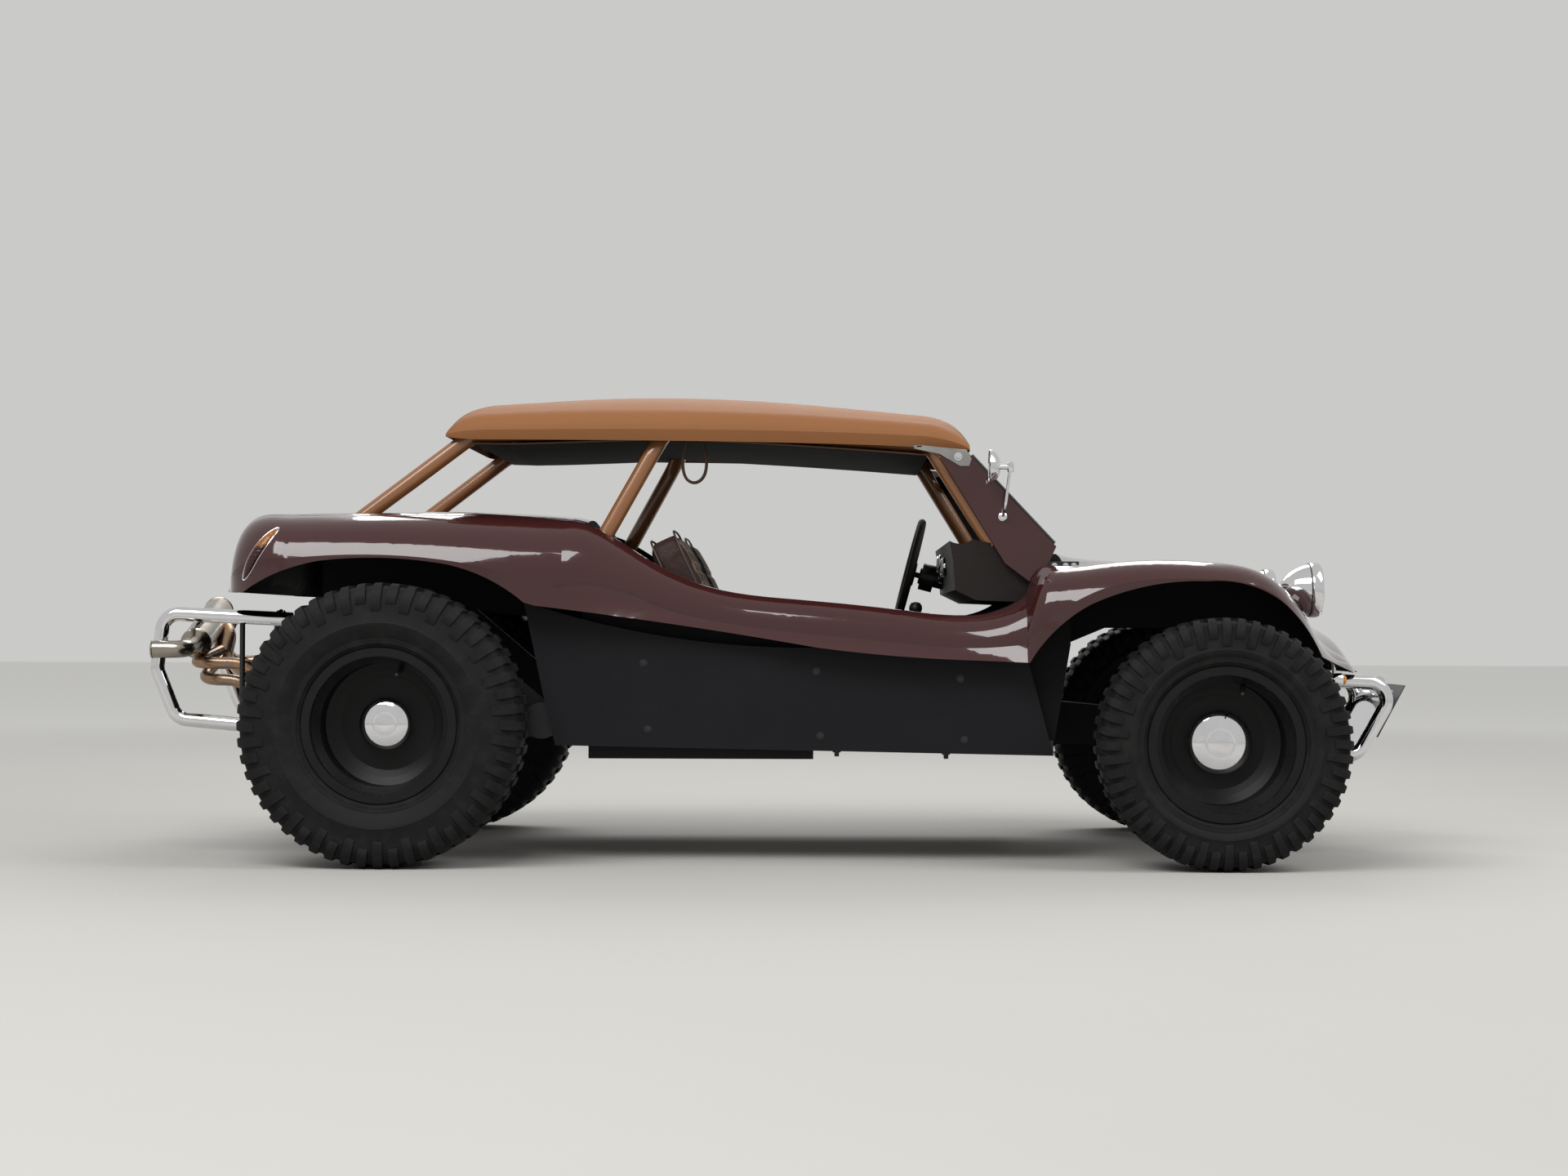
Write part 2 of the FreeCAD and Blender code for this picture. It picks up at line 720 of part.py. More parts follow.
def atFront(obj, dx, y, z):
    # z counts from the front hub height
    return place(obj, "%s + %s" % (FRONT_X, dx), y, "dim.front_tyre_radius + %s" % z)


BEAM_DX = "dim.beam_offset"
TUBE_UP = "dim.beam_tube_rise"
TUBE_DOWN = "dim.beam_tube_drop"

beam_parts = []
for name, rise in (("Upper", TUBE_UP), ("Lower", "-" + TUBE_DOWN)):
    tube = rod("BeamTube" + name, "dim.beam_tube_radius", "2 * dim.beam_half_width",
               ("0", "0", "0"), "Y")
    atFront(tube, BEAM_DX, "-dim.beam_half_width", rise)
    beam_parts.append(tube)
for side in (1, -1):
    tag = "Left" if side > 0 else "Right"
    tower = panel("ShockTower" + tag, [
        ("-34", "-%s - 34" % TUBE_DOWN),
        ("34", "-%s - 34" % TUBE_DOWN),
        ("34", "%s + 30" % TUBE_UP),
        ("-20", "dim.shock_top_rise + 18"),
        ("-80", "dim.shock_top_rise + 18"),
        ("-80", "dim.shock_top_rise - 40"),
        ("-34", "%s + 30" % TUBE_UP),
    ], "12")
    atFront(tower, BEAM_DX, "%d * (dim.beam_half_width - 30)" % side, "0")
    beam_parts.append(tower)
beam = keep(fused("FrontBeam", beam_parts), "front_beam")


def buildArms(side):
    # trailing arms, upper and lower, from the beam ends back to the ball joints
    parts = []
    for z, eye in ((dim.beam_tube_rise, dim.ball_joint_rise),
                   (-dim.beam_tube_drop, -dim.ball_joint_rise)):
        hub_z = dim.front_tyre_radius
        root_y = dim.beam_half_width + 0.3
        root = V(front_x + dim.beam_offset, side * root_y, hub_z + z)
        boss = Part.makeCylinder(27, 34, root, V(0, side, 0))
        eye_base = V(front_x, side * dim.kingpin_offset, hub_z + eye)
        step = 1 if eye > 0 else -1
        ring = Part.makeCylinder(20, 22, eye_base + V(0, 0, 6 * step), V(0, 0, step))
        mid_z = hub_z + eye + 17 * step
        start = V(root.x, side * (root_y + 17), root.z)
        end = V(front_x, side * dim.kingpin_offset, mid_z)
        arm = Part.makeCone(15, 11, (end - start).Length, start, end - start)
        bore = Part.makeCylinder(dim.ball_pin_radius + dim.running_fit, 60,
                                 eye_base - V(0, 0, 10 * step), V(0, 0, step))
        parts.append(boss.fuse([ring, arm]).cut(bore))
    return parts


arms = []
for side in (1, -1):
    arms += buildArms(side)
keep(made("FrontArms", Part.makeCompound(arms)), "front_arms")


def buildKnuckle(side):
    hub = V(front_x, side * dim.kingpin_offset, dim.front_tyre_radius)
    disc_y = dim.front_wheel_offset - dim.front_disc_inset
    drum_in = disc_y - dim.rim_wall - dim.drum_depth
    out = V(0, side, 0)
    rise = dim.ball_joint_rise
    upright = Part.makeBox(44, 30, 2 * rise, hub + V(-22, -15, -rise))
    pins = [Part.makeCylinder(dim.ball_pin_radius, 28, hub + V(0, 0, rise * step - 0.5 * step),
                              V(0, 0, step)) for step in (1, -1)]
    boss = Part.makeCylinder(34, drum_in - 6 - dim.kingpin_offset, hub, out)
    plate = Part.makeCylinder(dim.drum_radius - 14, 6,
                              V(hub.x, side * (drum_in - 12), hub.z), out)
    stub = Part.makeCylinder(dim.stub_axle_radius, disc_y + 10 - dim.kingpin_offset, hub, out)
    arm_end = hub + V(dim.steering_arm, -side * 14, -dim.steering_arm_drop)
    arm_root = hub + V(10, 0, -dim.steering_arm_drop)
    arm = Part.makeCone(15, 9, (arm_end - arm_root).Length, arm_root, arm_end - arm_root)
    eye = Part.makeCylinder(14, 18, arm_end + V(0, 0, -9), Z_AXIS)
    return upright.fuse(pins + [boss, plate, stub, facingOut(arm), eye])


keep(made("KnuckleLeft", buildKnuckle(1)), "knuckle_left")
keep(made("KnuckleRight", buildKnuckle(-1)), "knuckle_right")


def buildTieRods():
    # both tie rods and the drop arm between them move across together
    z = dim.front_tyre_radius - dim.steering_arm_drop - 9 - 1 - 11
    x = front_x + dim.steering_arm
    reach = dim.kingpin_offset - 14
    rods = Part.makeCylinder(9, 2 * reach, V(x, -reach, z), Y_AXIS)
    ends = [Part.makeCylinder(13, 22, V(x, side * reach, z - 11), Z_AXIS) for side in (1, -1)]
    drop = Part.makeCylinder(16, 24, V(x, dim.column_offset - 40, z - 11), Z_AXIS)
    return rods.fuse(ends + [drop]).removeSplitter()


keep(made("TieRods", buildTieRods()), "tie_rods")


def buildShocks():
    solids = []
    hub_z = dim.front_tyre_radius
    for side in (1, -1):
        y = side * (dim.beam_half_width - 30 - 6 - 26)
        top = V(front_x + dim.beam_offset - 58, y, hub_z + dim.shock_top_rise)
        foot = V(front_x + dim.beam_offset - 58, y, hub_z - dim.beam_tube_drop)
        solids.append(buildShock(top, foot))
        rear_z = dim.rear_tyre_radius
        top = V(rear_x + 60, side * 500, rear_z + 330)
        foot = V(rear_x - 40, side * 540, rear_z + 62)
        solids.append(buildShock(top, foot))
    return Part.makeCompound(solids)


def buildShock(top, foot):
    way = foot - top
    length = way.Length
    unit = way.normalize()
    dust = Part.makeCylinder(25, length * 0.45, top + unit * 22, unit)
    body = Part.makeCylinder(21, length * 0.5, foot - unit * (22 + length * 0.5), unit)
    rod_ = Part.makeCylinder(8, length - 30, top + unit * 15, unit)
    eyes = [Part.makeCylinder(17, 30, p - V(0, 15, 0), Y_AXIS) for p in (top, foot)]
    return dust.fuse([body, rod_] + eyes).removeSplitter()


keep(made("Shocks", buildShocks()), "shock_absorbers")

# ---------------------------------------------------------------- floor pan and side panels

pan_x = "%s + dim.pan_rear_x" % REAR_X
floor = panel("PanFloor", [
    (pan_x, "dim.pan_bottom_rear"),
    ("%s - dim.pan_front_x" % FRONT_X, "dim.pan_bottom_front"),
    ("%s - dim.pan_front_x" % FRONT_X, "dim.pan_bottom_front + dim.pan_thickness"),
    (pan_x, "dim.pan_bottom_rear + dim.pan_thickness"),
], "2 * dim.pan_half_width")
tunnel = panel("PanTunnel", [
    ("%s + dim.torsion_x" % REAR_X, "dim.pan_bottom_rear + 4"),
    ("%s + dim.beam_offset" % FRONT_X, "dim.pan_bottom_front + 4"),
    ("%s + dim.beam_offset" % FRONT_X, "dim.pan_bottom_front + 90"),
    ("%s - dim.pan_front_x" % FRONT_X, "dim.pan_bottom_front + dim.tunnel_height"),
    ("%s + dim.torsion_x" % REAR_X, "dim.pan_bottom_rear + dim.tunnel_height"),
], "2 * dim.tunnel_half_width")
rails = []
for side in (1, -1):
    rail = box("JackRail%d" % (2 + side), ("dim.jack_rail_length", "dim.jack_rail_width",
               "dim.pan_bottom_rear + 4 - dim.jack_rail_bottom"), ("0", "0", "0"))
    place(rail, "%s + 571" % REAR_X,
          "%d * dim.jack_rail_offset - dim.jack_rail_width / 2" % side, "dim.jack_rail_bottom")
    rails.append(rail)
torsion = rod("TorsionTube", "dim.torsion_radius", "2 * dim.torsion_half", ("0", "0", "0"), "Y")
place(torsion, "%s + dim.torsion_x" % REAR_X, "-dim.torsion_half", "dim.rear_tyre_radius + 6")
horns = []
for side in (1, -1):
    horn = box("FrameHorn%d" % (2 + side), ("dim.torsion_x - 48", "40", "60"), ("0", "0", "0"))
    place(horn, "%s + 48" % REAR_X, "%d * 165 - 20" % side, "dim.rear_tyre_radius - 24")
    horns.append(horn)
pan = keep(cutBy("FloorPan", fused("PanWelded", [floor, tunnel, torsion] + horns + rails), beam), "floor_pan")

side_panel = panel("SidePanelLeft", [
    ("%s + 477" % REAR_X, "dim.pan_bottom_rear"),
    ("%s - dim.pan_front_x" % FRONT_X, "dim.pan_bottom_front"),
    ("%s - 541" % FRONT_X, "dim.waist_height - 3"),
    ("%s - 700" % FRONT_X, "dim.waist_height + 3"),
    ("%s + 1241" % REAR_X, "dim.waist_height + 39", "-2600"),
    ("%s + 425" % REAR_X, "dim.waist_height + 158"),
    ("%s + 384" % REAR_X, "dim.waist_height + 166"),
    ("%s + 441" % REAR_X, "dim.waist_height - 99"),
], "dim.side_panel_thickness")
place(side_panel, "0", "dim.side_panel_offset", "0")
keep(bothSides("SidePanels", side_panel), "side_panels")

# ---------------------------------------------------------------- rear drive


def buildRearAxle():
    z = dim.rear_tyre_radius
    disc_y = dim.rear_wheel_offset - dim.rear_disc_inset
    drum_in = disc_y - dim.rim_wall - dim.drum_depth
    solids = []
    for side in (1, -1):
        out = V(0, side, 0)
        tube = Part.makeCylinder(38, drum_in - 6 - 125, V(rear_x, side * 125, z), out)
        housing = Part.makeCylinder(62, 48, V(rear_x, side * (drum_in - 60), z), out)
        plate = Part.makeCylinder(dim.drum_radius - 14, 6, V(rear_x, side * (drum_in - 12), z), out)
        shaft = Part.makeCylinder(dim.stub_axle_radius, disc_y + 10 - 300,
                                  V(rear_x, side * 300, z), out)
        y = dim.torsion_half + 0.3
        arm = Part.makeBox(dim.torsion_x + 60, 9, 84,
                           V(rear_x - 40, side * (y + 4.5) - 4.5, z - 42))
        cap = Part.makeCylinder(dim.torsion_radius + 8, 12,
                                V(rear_x + dim.torsion_x, side * y, z + 6), out)
        solids.append(tube.fuse([housing, plate, shaft, arm, cap]).removeSplitter())
    return Part.makeCompound(solids)


keep(made("RearAxle", buildRearAxle()), "rear_axle")


def buildGearbox():
    z = dim.rear_tyre_radius + 10
    case = Part.makeLoft([
        Part.Wire(Part.makeCircle(58, V(rear_x + 350, 0, z), X_AXIS)),
        Part.Wire(Part.makeCircle(105, V(rear_x + 60, 0, z), X_AXIS)),
        Part.Wire(Part.makeCircle(120, V(rear_x - 40, 0, z), X_AXIS)),
        Part.Wire(Part.makeCircle(170, V(rear_x - 110, 0, z), X_AXIS)),
        Part.Wire(Part.makeCircle(170, V(rear_x - 140, 0, z), X_AXIS)),
    ], True, True)
    sides = Part.makeCylinder(62, 248, V(rear_x, -124, z - 10), Y_AXIS)
    case = facingOut(case).fuse(sides)
    return case.cut([pan_solid, axle_solid])


doc.recompute()
pan_solid = pan.Shape
axle_solid = doc.getObject("RearAxle").Shape
keep(made("Gearbox", buildGearbox()), "gearbox")


def buildEngine():
    z = dim.rear_tyre_radius + 10
    x0 = rear_x - 140.3
    block = Part.makeBox(300, 300, 330, V(x0 - 300, -150, z - 160))
    sump = Part.makeBox(240, 200, 30, V(x0 - 270, -100, z - 190))
    heads = [Part.makeBox(230, 200, 150, V(x0 - 265, 145 if s > 0 else -345, z - 75)) for s in (1, -1)]
    shroud = Part.makeBox(110, 620, 250, V(x0 - 130, -310, z + 160))
    fan = Part.makeCylinder(125, 60, V(x0 - 188, 0, z + 285), X_AXIS)
    carb = Part.makeBox(90, 110, 150, V(x0 - 285, -55, z + 160))
    return block.fuse([sump, shroud, fan, carb] + heads).removeSplitter()


keep(made("Engine", buildEngine()), "engine")

# ---------------------------------------------------------------- bumpers and exhaust


def buildFrontBumper():
    solids = []
    z = dim.waist_height - 68
    y = dim.front_bumper_half
    r = dim.bumper_tube_radius
    nose = front_x + dim.front_overhang - 32
    for side in (1, -1):
        points = [V(front_x + 330, side * y, z + 12), V(nose, side * y, z),
                  V(nose - 120, side * y, z - 212), V(front_x + 260, side * y, z - 262)]
        solids.append(bentTube(points, 55, r, 3))
    cross = Part.makeCylinder(r, 2 * y, V(nose - 60, -y, z + 1.5), Y_AXIS)
    plate = Part.makeBox(dim.plate_thickness, 380, 180, V(0, -190, -180))
    plate.rotate(V(0, 0, 0), Y_AXIS, math.degrees(math.atan2(88, 165)))
    plate.translate(V(front_x + dim.front_overhang - 1.5, 0, z - 6))
    guard = Part.makeBox(4, 2 * y - 10, 190, V(0, -y + 5, -190))
    guard.rotate(V(0, 0, 0), Y_AXIS, math.degrees(math.atan2(120, 212)))
    guard.translate(V(nose - 18, 0, z - 20))
    frame = solids[0].fuse([solids[1], cross, guard]).removeSplitter()
    return frame, plate


bumper_shape, plate_shape = buildFrontBumper()
keep(made("FrontBumper", bumper_shape), "front_bumper")
keep(made("FrontPlate", plate_shape), "front_plate")


def buildRearBumper():
    r = dim.bumper_tube_radius
    tail = rear_x - dim.rear_overhang + r
    loops = []
    for side in (1, -1):
        y = side * dim.rear_bumper_half
        points = [V(rear_x - 330, y, 708), V(tail + 20, y, 726), V(tail, y, 560),
                  V(tail + 60, y, 410), V(rear_x - 470, y, 392)]
        loops.append(bentTube(points, 52, r, 3))
    cross = Part.makeCylinder(r, 2 * dim.rear_bumper_half, V(tail + 60, -dim.rear_bumper_half, 722), Y_AXIS)
    return loops[0].fuse([loops[1], cross]).removeSplitter()


keep(made("RearBumper", buildRearBumper()), "rear_bumper")


def buildExhaust():
    z = dim.rear_tyre_radius
    pipes = []
    for side in (1, -1):
        for dx in (-200, -340):
            points = [V(rear_x + dx, side * 300, z - 66), V(rear_x + dx, side * 300, z - 110),
                      V(rear_x + dx - 40, side * 240, z - 130), V(rear_x - 560, side * 60, z + 120)]
            pipes.append(bentTube(points, 22, 19, 2))
    can = Part.makeCylinder(62, 420, V(rear_x - 600, -210, z + 240), Y_AXIS)
    tip = Part.makeCylinder(32, 130, V(rear_x - 618, -160, z + 240), V(-1, 0, 0.05))
    return pipes, can.fuse(tip)


pipes, can = buildExhaust()
keep(made("Muffler", can), "muffler")

# ---------------------------------------------------------------- dashboard and column

dash_body = panel("DashboardPad", [
    ("%s - 768" % FRONT_X, "945", "60"),
    ("%s - 700" % FRONT_X, "950"),
    ("%s - 470" % FRONT_X, "900"),
    ("%s - dim.cowl_x - 0.3" % FRONT_X, "880"),
    ("%s - dim.cowl_x - 0.3" % FRONT_X, "760"),
    ("%s - 690" % FRONT_X, "770"),
    ("%s - 752" % FRONT_X, "800"),
    ("%s - 758" % FRONT_X, "884"),
], "2 * dim.dash_half_width")


def alongColumn(name, radius, start, length):
    obj = doc.addObject("Part::Cylinder", name)
    bind(obj, Radius=radius, Height=length)
    obj.Placement = FreeCAD.Placement(V(0, 0, 0), FreeCAD.Rotation(Y_AXIS, 90 + COLUMN_RAKE))
    way = V(math.cos(math.radians(COLUMN_RAKE)), 0, -math.sin(math.radians(COLUMN_RAKE)))
    return place(obj, "%s + dim.steering_wheel_x + %.6f * (%s)" % (REAR_X, way.x, start),
                 "dim.column_offset",
                 "dim.steering_wheel_height + %.6f * (%s)" % (way.z, start))


COLUMN_RAKE = 14.5
column_hole = alongColumn("ColumnHole", "dim.column_radius + 0.3", "50", "460")
dash = keep(cutBy("Dashboard", dash_body, column_hole), "dashboard")
column_tube = alongColumn("ColumnTube", "dim.column_radius", "34", "430")
column_pod = alongColumn("ColumnPod", "dim.column_radius + 18", "40", "44")
column = keep(fused("SteeringColumn", [column_tube, column_pod]), "steering_column")

doc.recompute()
tub_shape = tub_shape.cut([pan.Shape, column_hole.Shape])
tub = keep(made("BodyTub", tub_shape), "body_tub")

# ---------------------------------------------------------------- windscreen


def screenShape():
    half = dim.screen_half_width
    post = dim.screen_post_thickness
    x = rear_x
    # side view of a post: x from the rear axle, height
    outline = [(1600, 1188), (1624, 1155), (1793, 879), (1889, 807), (1944, 928), (1685, 1203)]
    lift = dim.roof_edge_height - 1244
    points = [V(x + px, 0, pz + lift) for px, pz in outline]
    face = Part.Face(Part.makePolygon(points + [points[0]]))
    posts = []
    for y in (half - post, -half):
        piece = face.copy()
        piece.translate(V(0, y, 0))
        posts.append(facingOut(piece.extrude(V(0, post, 0))))
    slope = (V(1685, 0, 1203) - V(1944, 0, 928)).normalize()
    normal = V(-slope.z, 0, slope.x)
    if normal.x > 0:
        normal = normal * -1
    foot = V(x + 1944, 0, 928 + lift)

    def bar(start, length, depth):
        a = foot + slope * start
        b = a + slope * length
        wire = Part.makePolygon([a, b, b + normal * depth, a + normal * depth, a])
        f = Part.Face(wire)
        f.translate(V(0, -half + 1, 0))
        return facingOut(f.extrude(V(0, 2 * half - 2, 0)))

    frame = posts[0].fuse([posts[1], bar(0, 46, 34), bar(342, 34, 34)]).removeSplitter()
    a = foot + slope * 46.3 + normal * 6
    b = foot + slope * 341.7 + normal * 6
    f = Part.Face(Part.makePolygon([a, b, b + normal * dim.glass_thickness,
                                    a + normal * dim.glass_thickness, a]))
    f.translate(V(0, -half + post + 0.3, 0))
    glass = facingOut(f.extrude(V(0, 2 * (half - post) - 0.6, 0)))
    return frame, glass


frame_shape, glass_shape = screenShape()
screen_frame = keep(made("WindscreenFrame", frame_shape), "windscreen_frame")
keep(made("WindscreenGlass", glass_shape), "windscreen_glass")

# ---------------------------------------------------------------- roll cage


def outsideOf(shape, others, near):
    # what is left of a piece outside its neighbours, on the side of a point
    rest = shape.cut(others)
    if len(rest.Solids) < 2:
        return rest
    probe = Part.Vertex(near)
    return min(rest.Solids, key=lambda s: s.distToShape(probe)[0])


def buildHoop():
    half = dim.hoop_half_width
    top = V(rear_x + 792, 0, 1282)
    foot = V(rear_x + 586, 0, 912)
    lean = 42
    points = [foot + V(0, half + lean, 0), top + V(0, half, 0), top + V(0, -half, 0),
              foot + V(0, -half - lean, 0)]
    return bentTube(points, 110, dim.cage_tube_radius, dim.cage_tube_wall)


hoop_shape = buildHoop()
keep(made("MainHoop", hoop_shape), "main_hoop")


def buildStays():
    half = dim.hoop_half_width
    r = dim.cage_tube_radius
    solids = []
    for side in (1, -1):
        foot = V(rear_x - 150, side * (half + 12), 985)
        top = V(rear_x + 212, side * half, 1258)
        front = V(rear_x + 760, side * half, 1280)
        points = [foot, top, front]
        solids.append(bentTube(points, 90, r, dim.cage_tube_wall))
    cross = Part.makeCylinder(r - 0.5, 2 * half, V(rear_x + 290, -half, 1261), Y_AXIS)
    stays = solids[0].fuse([solids[1], cross]).removeSplitter()
    return stays


stays_shape = buildStays().cut([hoop_shape, tub.Shape])
stays_shape = max(stays_shape.Solids, key=lambda s: s.Volume)
keep(made("RearStays", stays_shape), "rear_stays")


def buildScreenStays():
    r = dim.cage_tube_radius
    low = dim.screen_half_width - dim.screen_post_thickness - r - 1
    half = dim.hoop_half_width
    solids = []
    for side in (1, -1):
        foot = V(rear_x + 1762, side * low, 930)
        top = V(rear_x + 1574, side * half, 1232)
        back = V(rear_x + 800, side * (half - 10), 1283)
        solids.append(bentTube([foot, top, back], 70, r, dim.cage_tube_wall))
    cross = Part.makeCylinder(r - 0.5, 2 * half, V(rear_x + 1500, -half, 1237), Y_AXIS)
    return solids[0].fuse([solids[1], cross]).removeSplitter()


front_stays = buildScreenStays().cut([hoop_shape, frame_shape, stays_shape, dash.Shape])
front_stays = max(front_stays.Solids, key=lambda s: s.Volume)
keep(made("ScreenStays", front_stays), "screen_stays")

# ---------------------------------------------------------------- cockpit


def buildSteeringWheel():
    ring = Part.makeTorus(dim.steering_wheel_radius - 13, 13)
    hub = Part.makeCylinder(38, 26, V(0, 0, -6))
    spokes = []
    for angle in (0, 105, 255):
        spoke = Part.makeBox(dim.steering_wheel_radius - 30, 34, 4, V(20, -17, 0))
        spoke.rotate(V(0, 0, 0), Z_AXIS, angle)
        spokes.append(spoke)
    shaft = Part.makeCylinder(9, 33.7, V(0, 0, 0))
    wheel = ring.fuse([hub, shaft] + spokes).removeSplitter()
    return wheel


wheel = made("SteeringWheel", buildSteeringWheel())
wheel.Placement = FreeCAD.Placement(
    V(rear_x + dim.steering_wheel_x, dim.column_offset, dim.steering_wheel_height),
    FreeCAD.Rotation(Y_AXIS, 90 + 14.5))
keep(wheel, "steering_wheel")


def buildSeats():
    seats = []
    for side in (1, -1):
        outline = [(1470, 430), (1480, 520), (1400, 560), (1060, 520), (985, 640), (905, 830), (836, 960),
                   (800, 972), (752, 945), (790, 860), (880, 640), (930, 480), (980, 400)]
        points = [V(rear_x + x, 0, z) for x, z in outline]
        face = Part.Face(Part.makePolygon(points + [points[0]]))
        y = side * dim.seat_offset - dim.seat_width / 2
        face.translate(V(0, y, 0))
        seats.append(facingOut(face.extrude(V(0, dim.seat_width, 0))))
    return Part.makeCompound(seats)


keep(made("FrontSeats", buildSeats()), "front_seats")


# ---------------------------------------------------------------- lamps


def lampTurned(name, rows, dx, y, z):
    body = turned(name, rows)
    body.Placement = FreeCAD.Placement(V(0, 0, 0), FreeCAD.Rotation(Z_AXIS, -90))
    return place(body, "%s + %s" % (FRONT_X, dx), y, z)


head_shell = lampTurned("HeadlampShellLeft", [
    ("0", "-100"),
    ("dim.headlamp_radius", "0", "140"),
    ("dim.headlamp_radius", "14"),
    ("dim.headlamp_radius - 8", "22"),
    ("dim.headlamp_radius - 8", "16"),
    ("0", "16"),
], "dim.headlamp_x", "dim.headlamp_offset", "dim.headlamp_height")
keep(bothSides("HeadlampShells", head_shell), "headlamp_shells")


# ---------------------------------------------------------------- check and write

doc.recompute()
for obj in doc.Objects:
    if "Invalid" in obj.State or "Error" in obj.State:
        raise RuntimeError("%s (%s) failed: %s" % (obj.Name, obj.Label, obj.State))
for node in nodes:
    if node.Shape.isNull() or not node.Shape.isValid():
        raise RuntimeError("%s has no valid shape" % node.Label)
for node in nodes:
    node.Shape.exportStep("parts/%s.step" % node.Label)
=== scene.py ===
import bpy, bmesh, math
from mathutils import Matrix, Vector
from mathutils.bvhtree import BVHTree


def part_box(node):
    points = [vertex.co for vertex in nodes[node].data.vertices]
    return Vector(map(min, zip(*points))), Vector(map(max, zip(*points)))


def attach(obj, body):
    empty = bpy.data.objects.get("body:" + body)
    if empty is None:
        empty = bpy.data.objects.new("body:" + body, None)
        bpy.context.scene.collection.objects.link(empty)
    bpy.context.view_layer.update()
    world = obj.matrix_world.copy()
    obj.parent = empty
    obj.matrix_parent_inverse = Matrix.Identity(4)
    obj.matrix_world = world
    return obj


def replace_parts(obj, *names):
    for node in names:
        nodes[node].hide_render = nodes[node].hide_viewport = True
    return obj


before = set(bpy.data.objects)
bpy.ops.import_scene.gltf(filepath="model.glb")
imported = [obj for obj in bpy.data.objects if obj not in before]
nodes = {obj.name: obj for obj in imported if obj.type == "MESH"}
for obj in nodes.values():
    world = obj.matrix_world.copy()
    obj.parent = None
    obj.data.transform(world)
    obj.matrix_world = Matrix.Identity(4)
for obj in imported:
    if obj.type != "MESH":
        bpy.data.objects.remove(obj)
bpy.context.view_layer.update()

rearAxleX = -1.144
frontAxleX = 1.256
forward, backward, upward = (1, 0, 0), (-1, 0, 0), (0, 0, 1)
sides = ((1, "Left"), (-1, "Right"))
wheelPlaces = [(end, side) for end in ("front", "rear") for side in ("left", "right")]


# shader arithmetic

class Wave:
    # one output socket that can be used in plain arithmetic
    def __init__(self, tree, out):
        self.tree = tree
        self.out = out

    def make(self, kind, settings=None, values=None, out=0):
        return makeNode(self.tree, kind, settings, values, out)

    def run(self, operation, first, second=None):
        vector = any(isinstance(v, Wave) and v.out.type == "VECTOR" for v in (first, second))
        kind = "ShaderNodeVectorMath" if vector else "ShaderNodeMath"
        values = {0: first}
        if second is not None:
            values[1] = (second,) * 3 if vector and isinstance(second, (int, float)) else second
        return self.make(kind, {"operation": operation}, values)

    def __add__(self, other): return self.run("ADD", self, other)
    def __radd__(self, other): return self.run("ADD", other, self)
    def __sub__(self, other): return self.run("SUBTRACT", self, other)
    def __rsub__(self, other): return self.run("SUBTRACT", other, self)
    def __mul__(self, other): return self.run("MULTIPLY", self, other)
    def __rmul__(self, other): return self.run("MULTIPLY", other, self)
    def __pow__(self, other): return self.run("POWER", self, other)
    def __gt__(self, other): return self.run("GREATER_THAN", self, other)
    def __lt__(self, other): return self.run("LESS_THAN", self, other)

    def part(self, index):
        return self.make("ShaderNodeSeparateXYZ", None, {0: self}, index)

    def clamp(self):
        return self.make("ShaderNodeClamp", None, {0: self})

    def smooth(self, low, high):
        # 0 below low, 1 above high, eased between
        return self.make("ShaderNodeMapRange", {"interpolation_type": "SMOOTHSTEP"},
                         {"Value": self, "From Min": low, "From Max": high})


def setSocket(tree, socket, value):
    if isinstance(value, Wave):
        tree.links.new(value.out, socket)
    else:
        socket.default_value = value


def makeNode(tree, kind, settings=None, values=None, out=0):
    # any node: its settings come first, then the values or links of its sockets
    node = tree.nodes.new(kind)
    for name, value in (settings or {}).items():
        setattr(node, name, value)
    for name, value in (values or {}).items():
        setSocket(tree, node.inputs[name], value)
    return Wave(tree, node.outputs[out])


def blendColour(mask, first, second):
    # first where the mask is 0, second where it is 1
    first, second = (v if isinstance(v, Wave) else tuple(v) + (1,) for v in (first, second))
    return makeNode(mask.tree, "ShaderNodeMix", {"data_type": "RGBA"}, {0: mask, 6: first, 7: second}, 2)


def scaled(colour, share):
    return tuple(min(1.0, c * share) for c in colour)


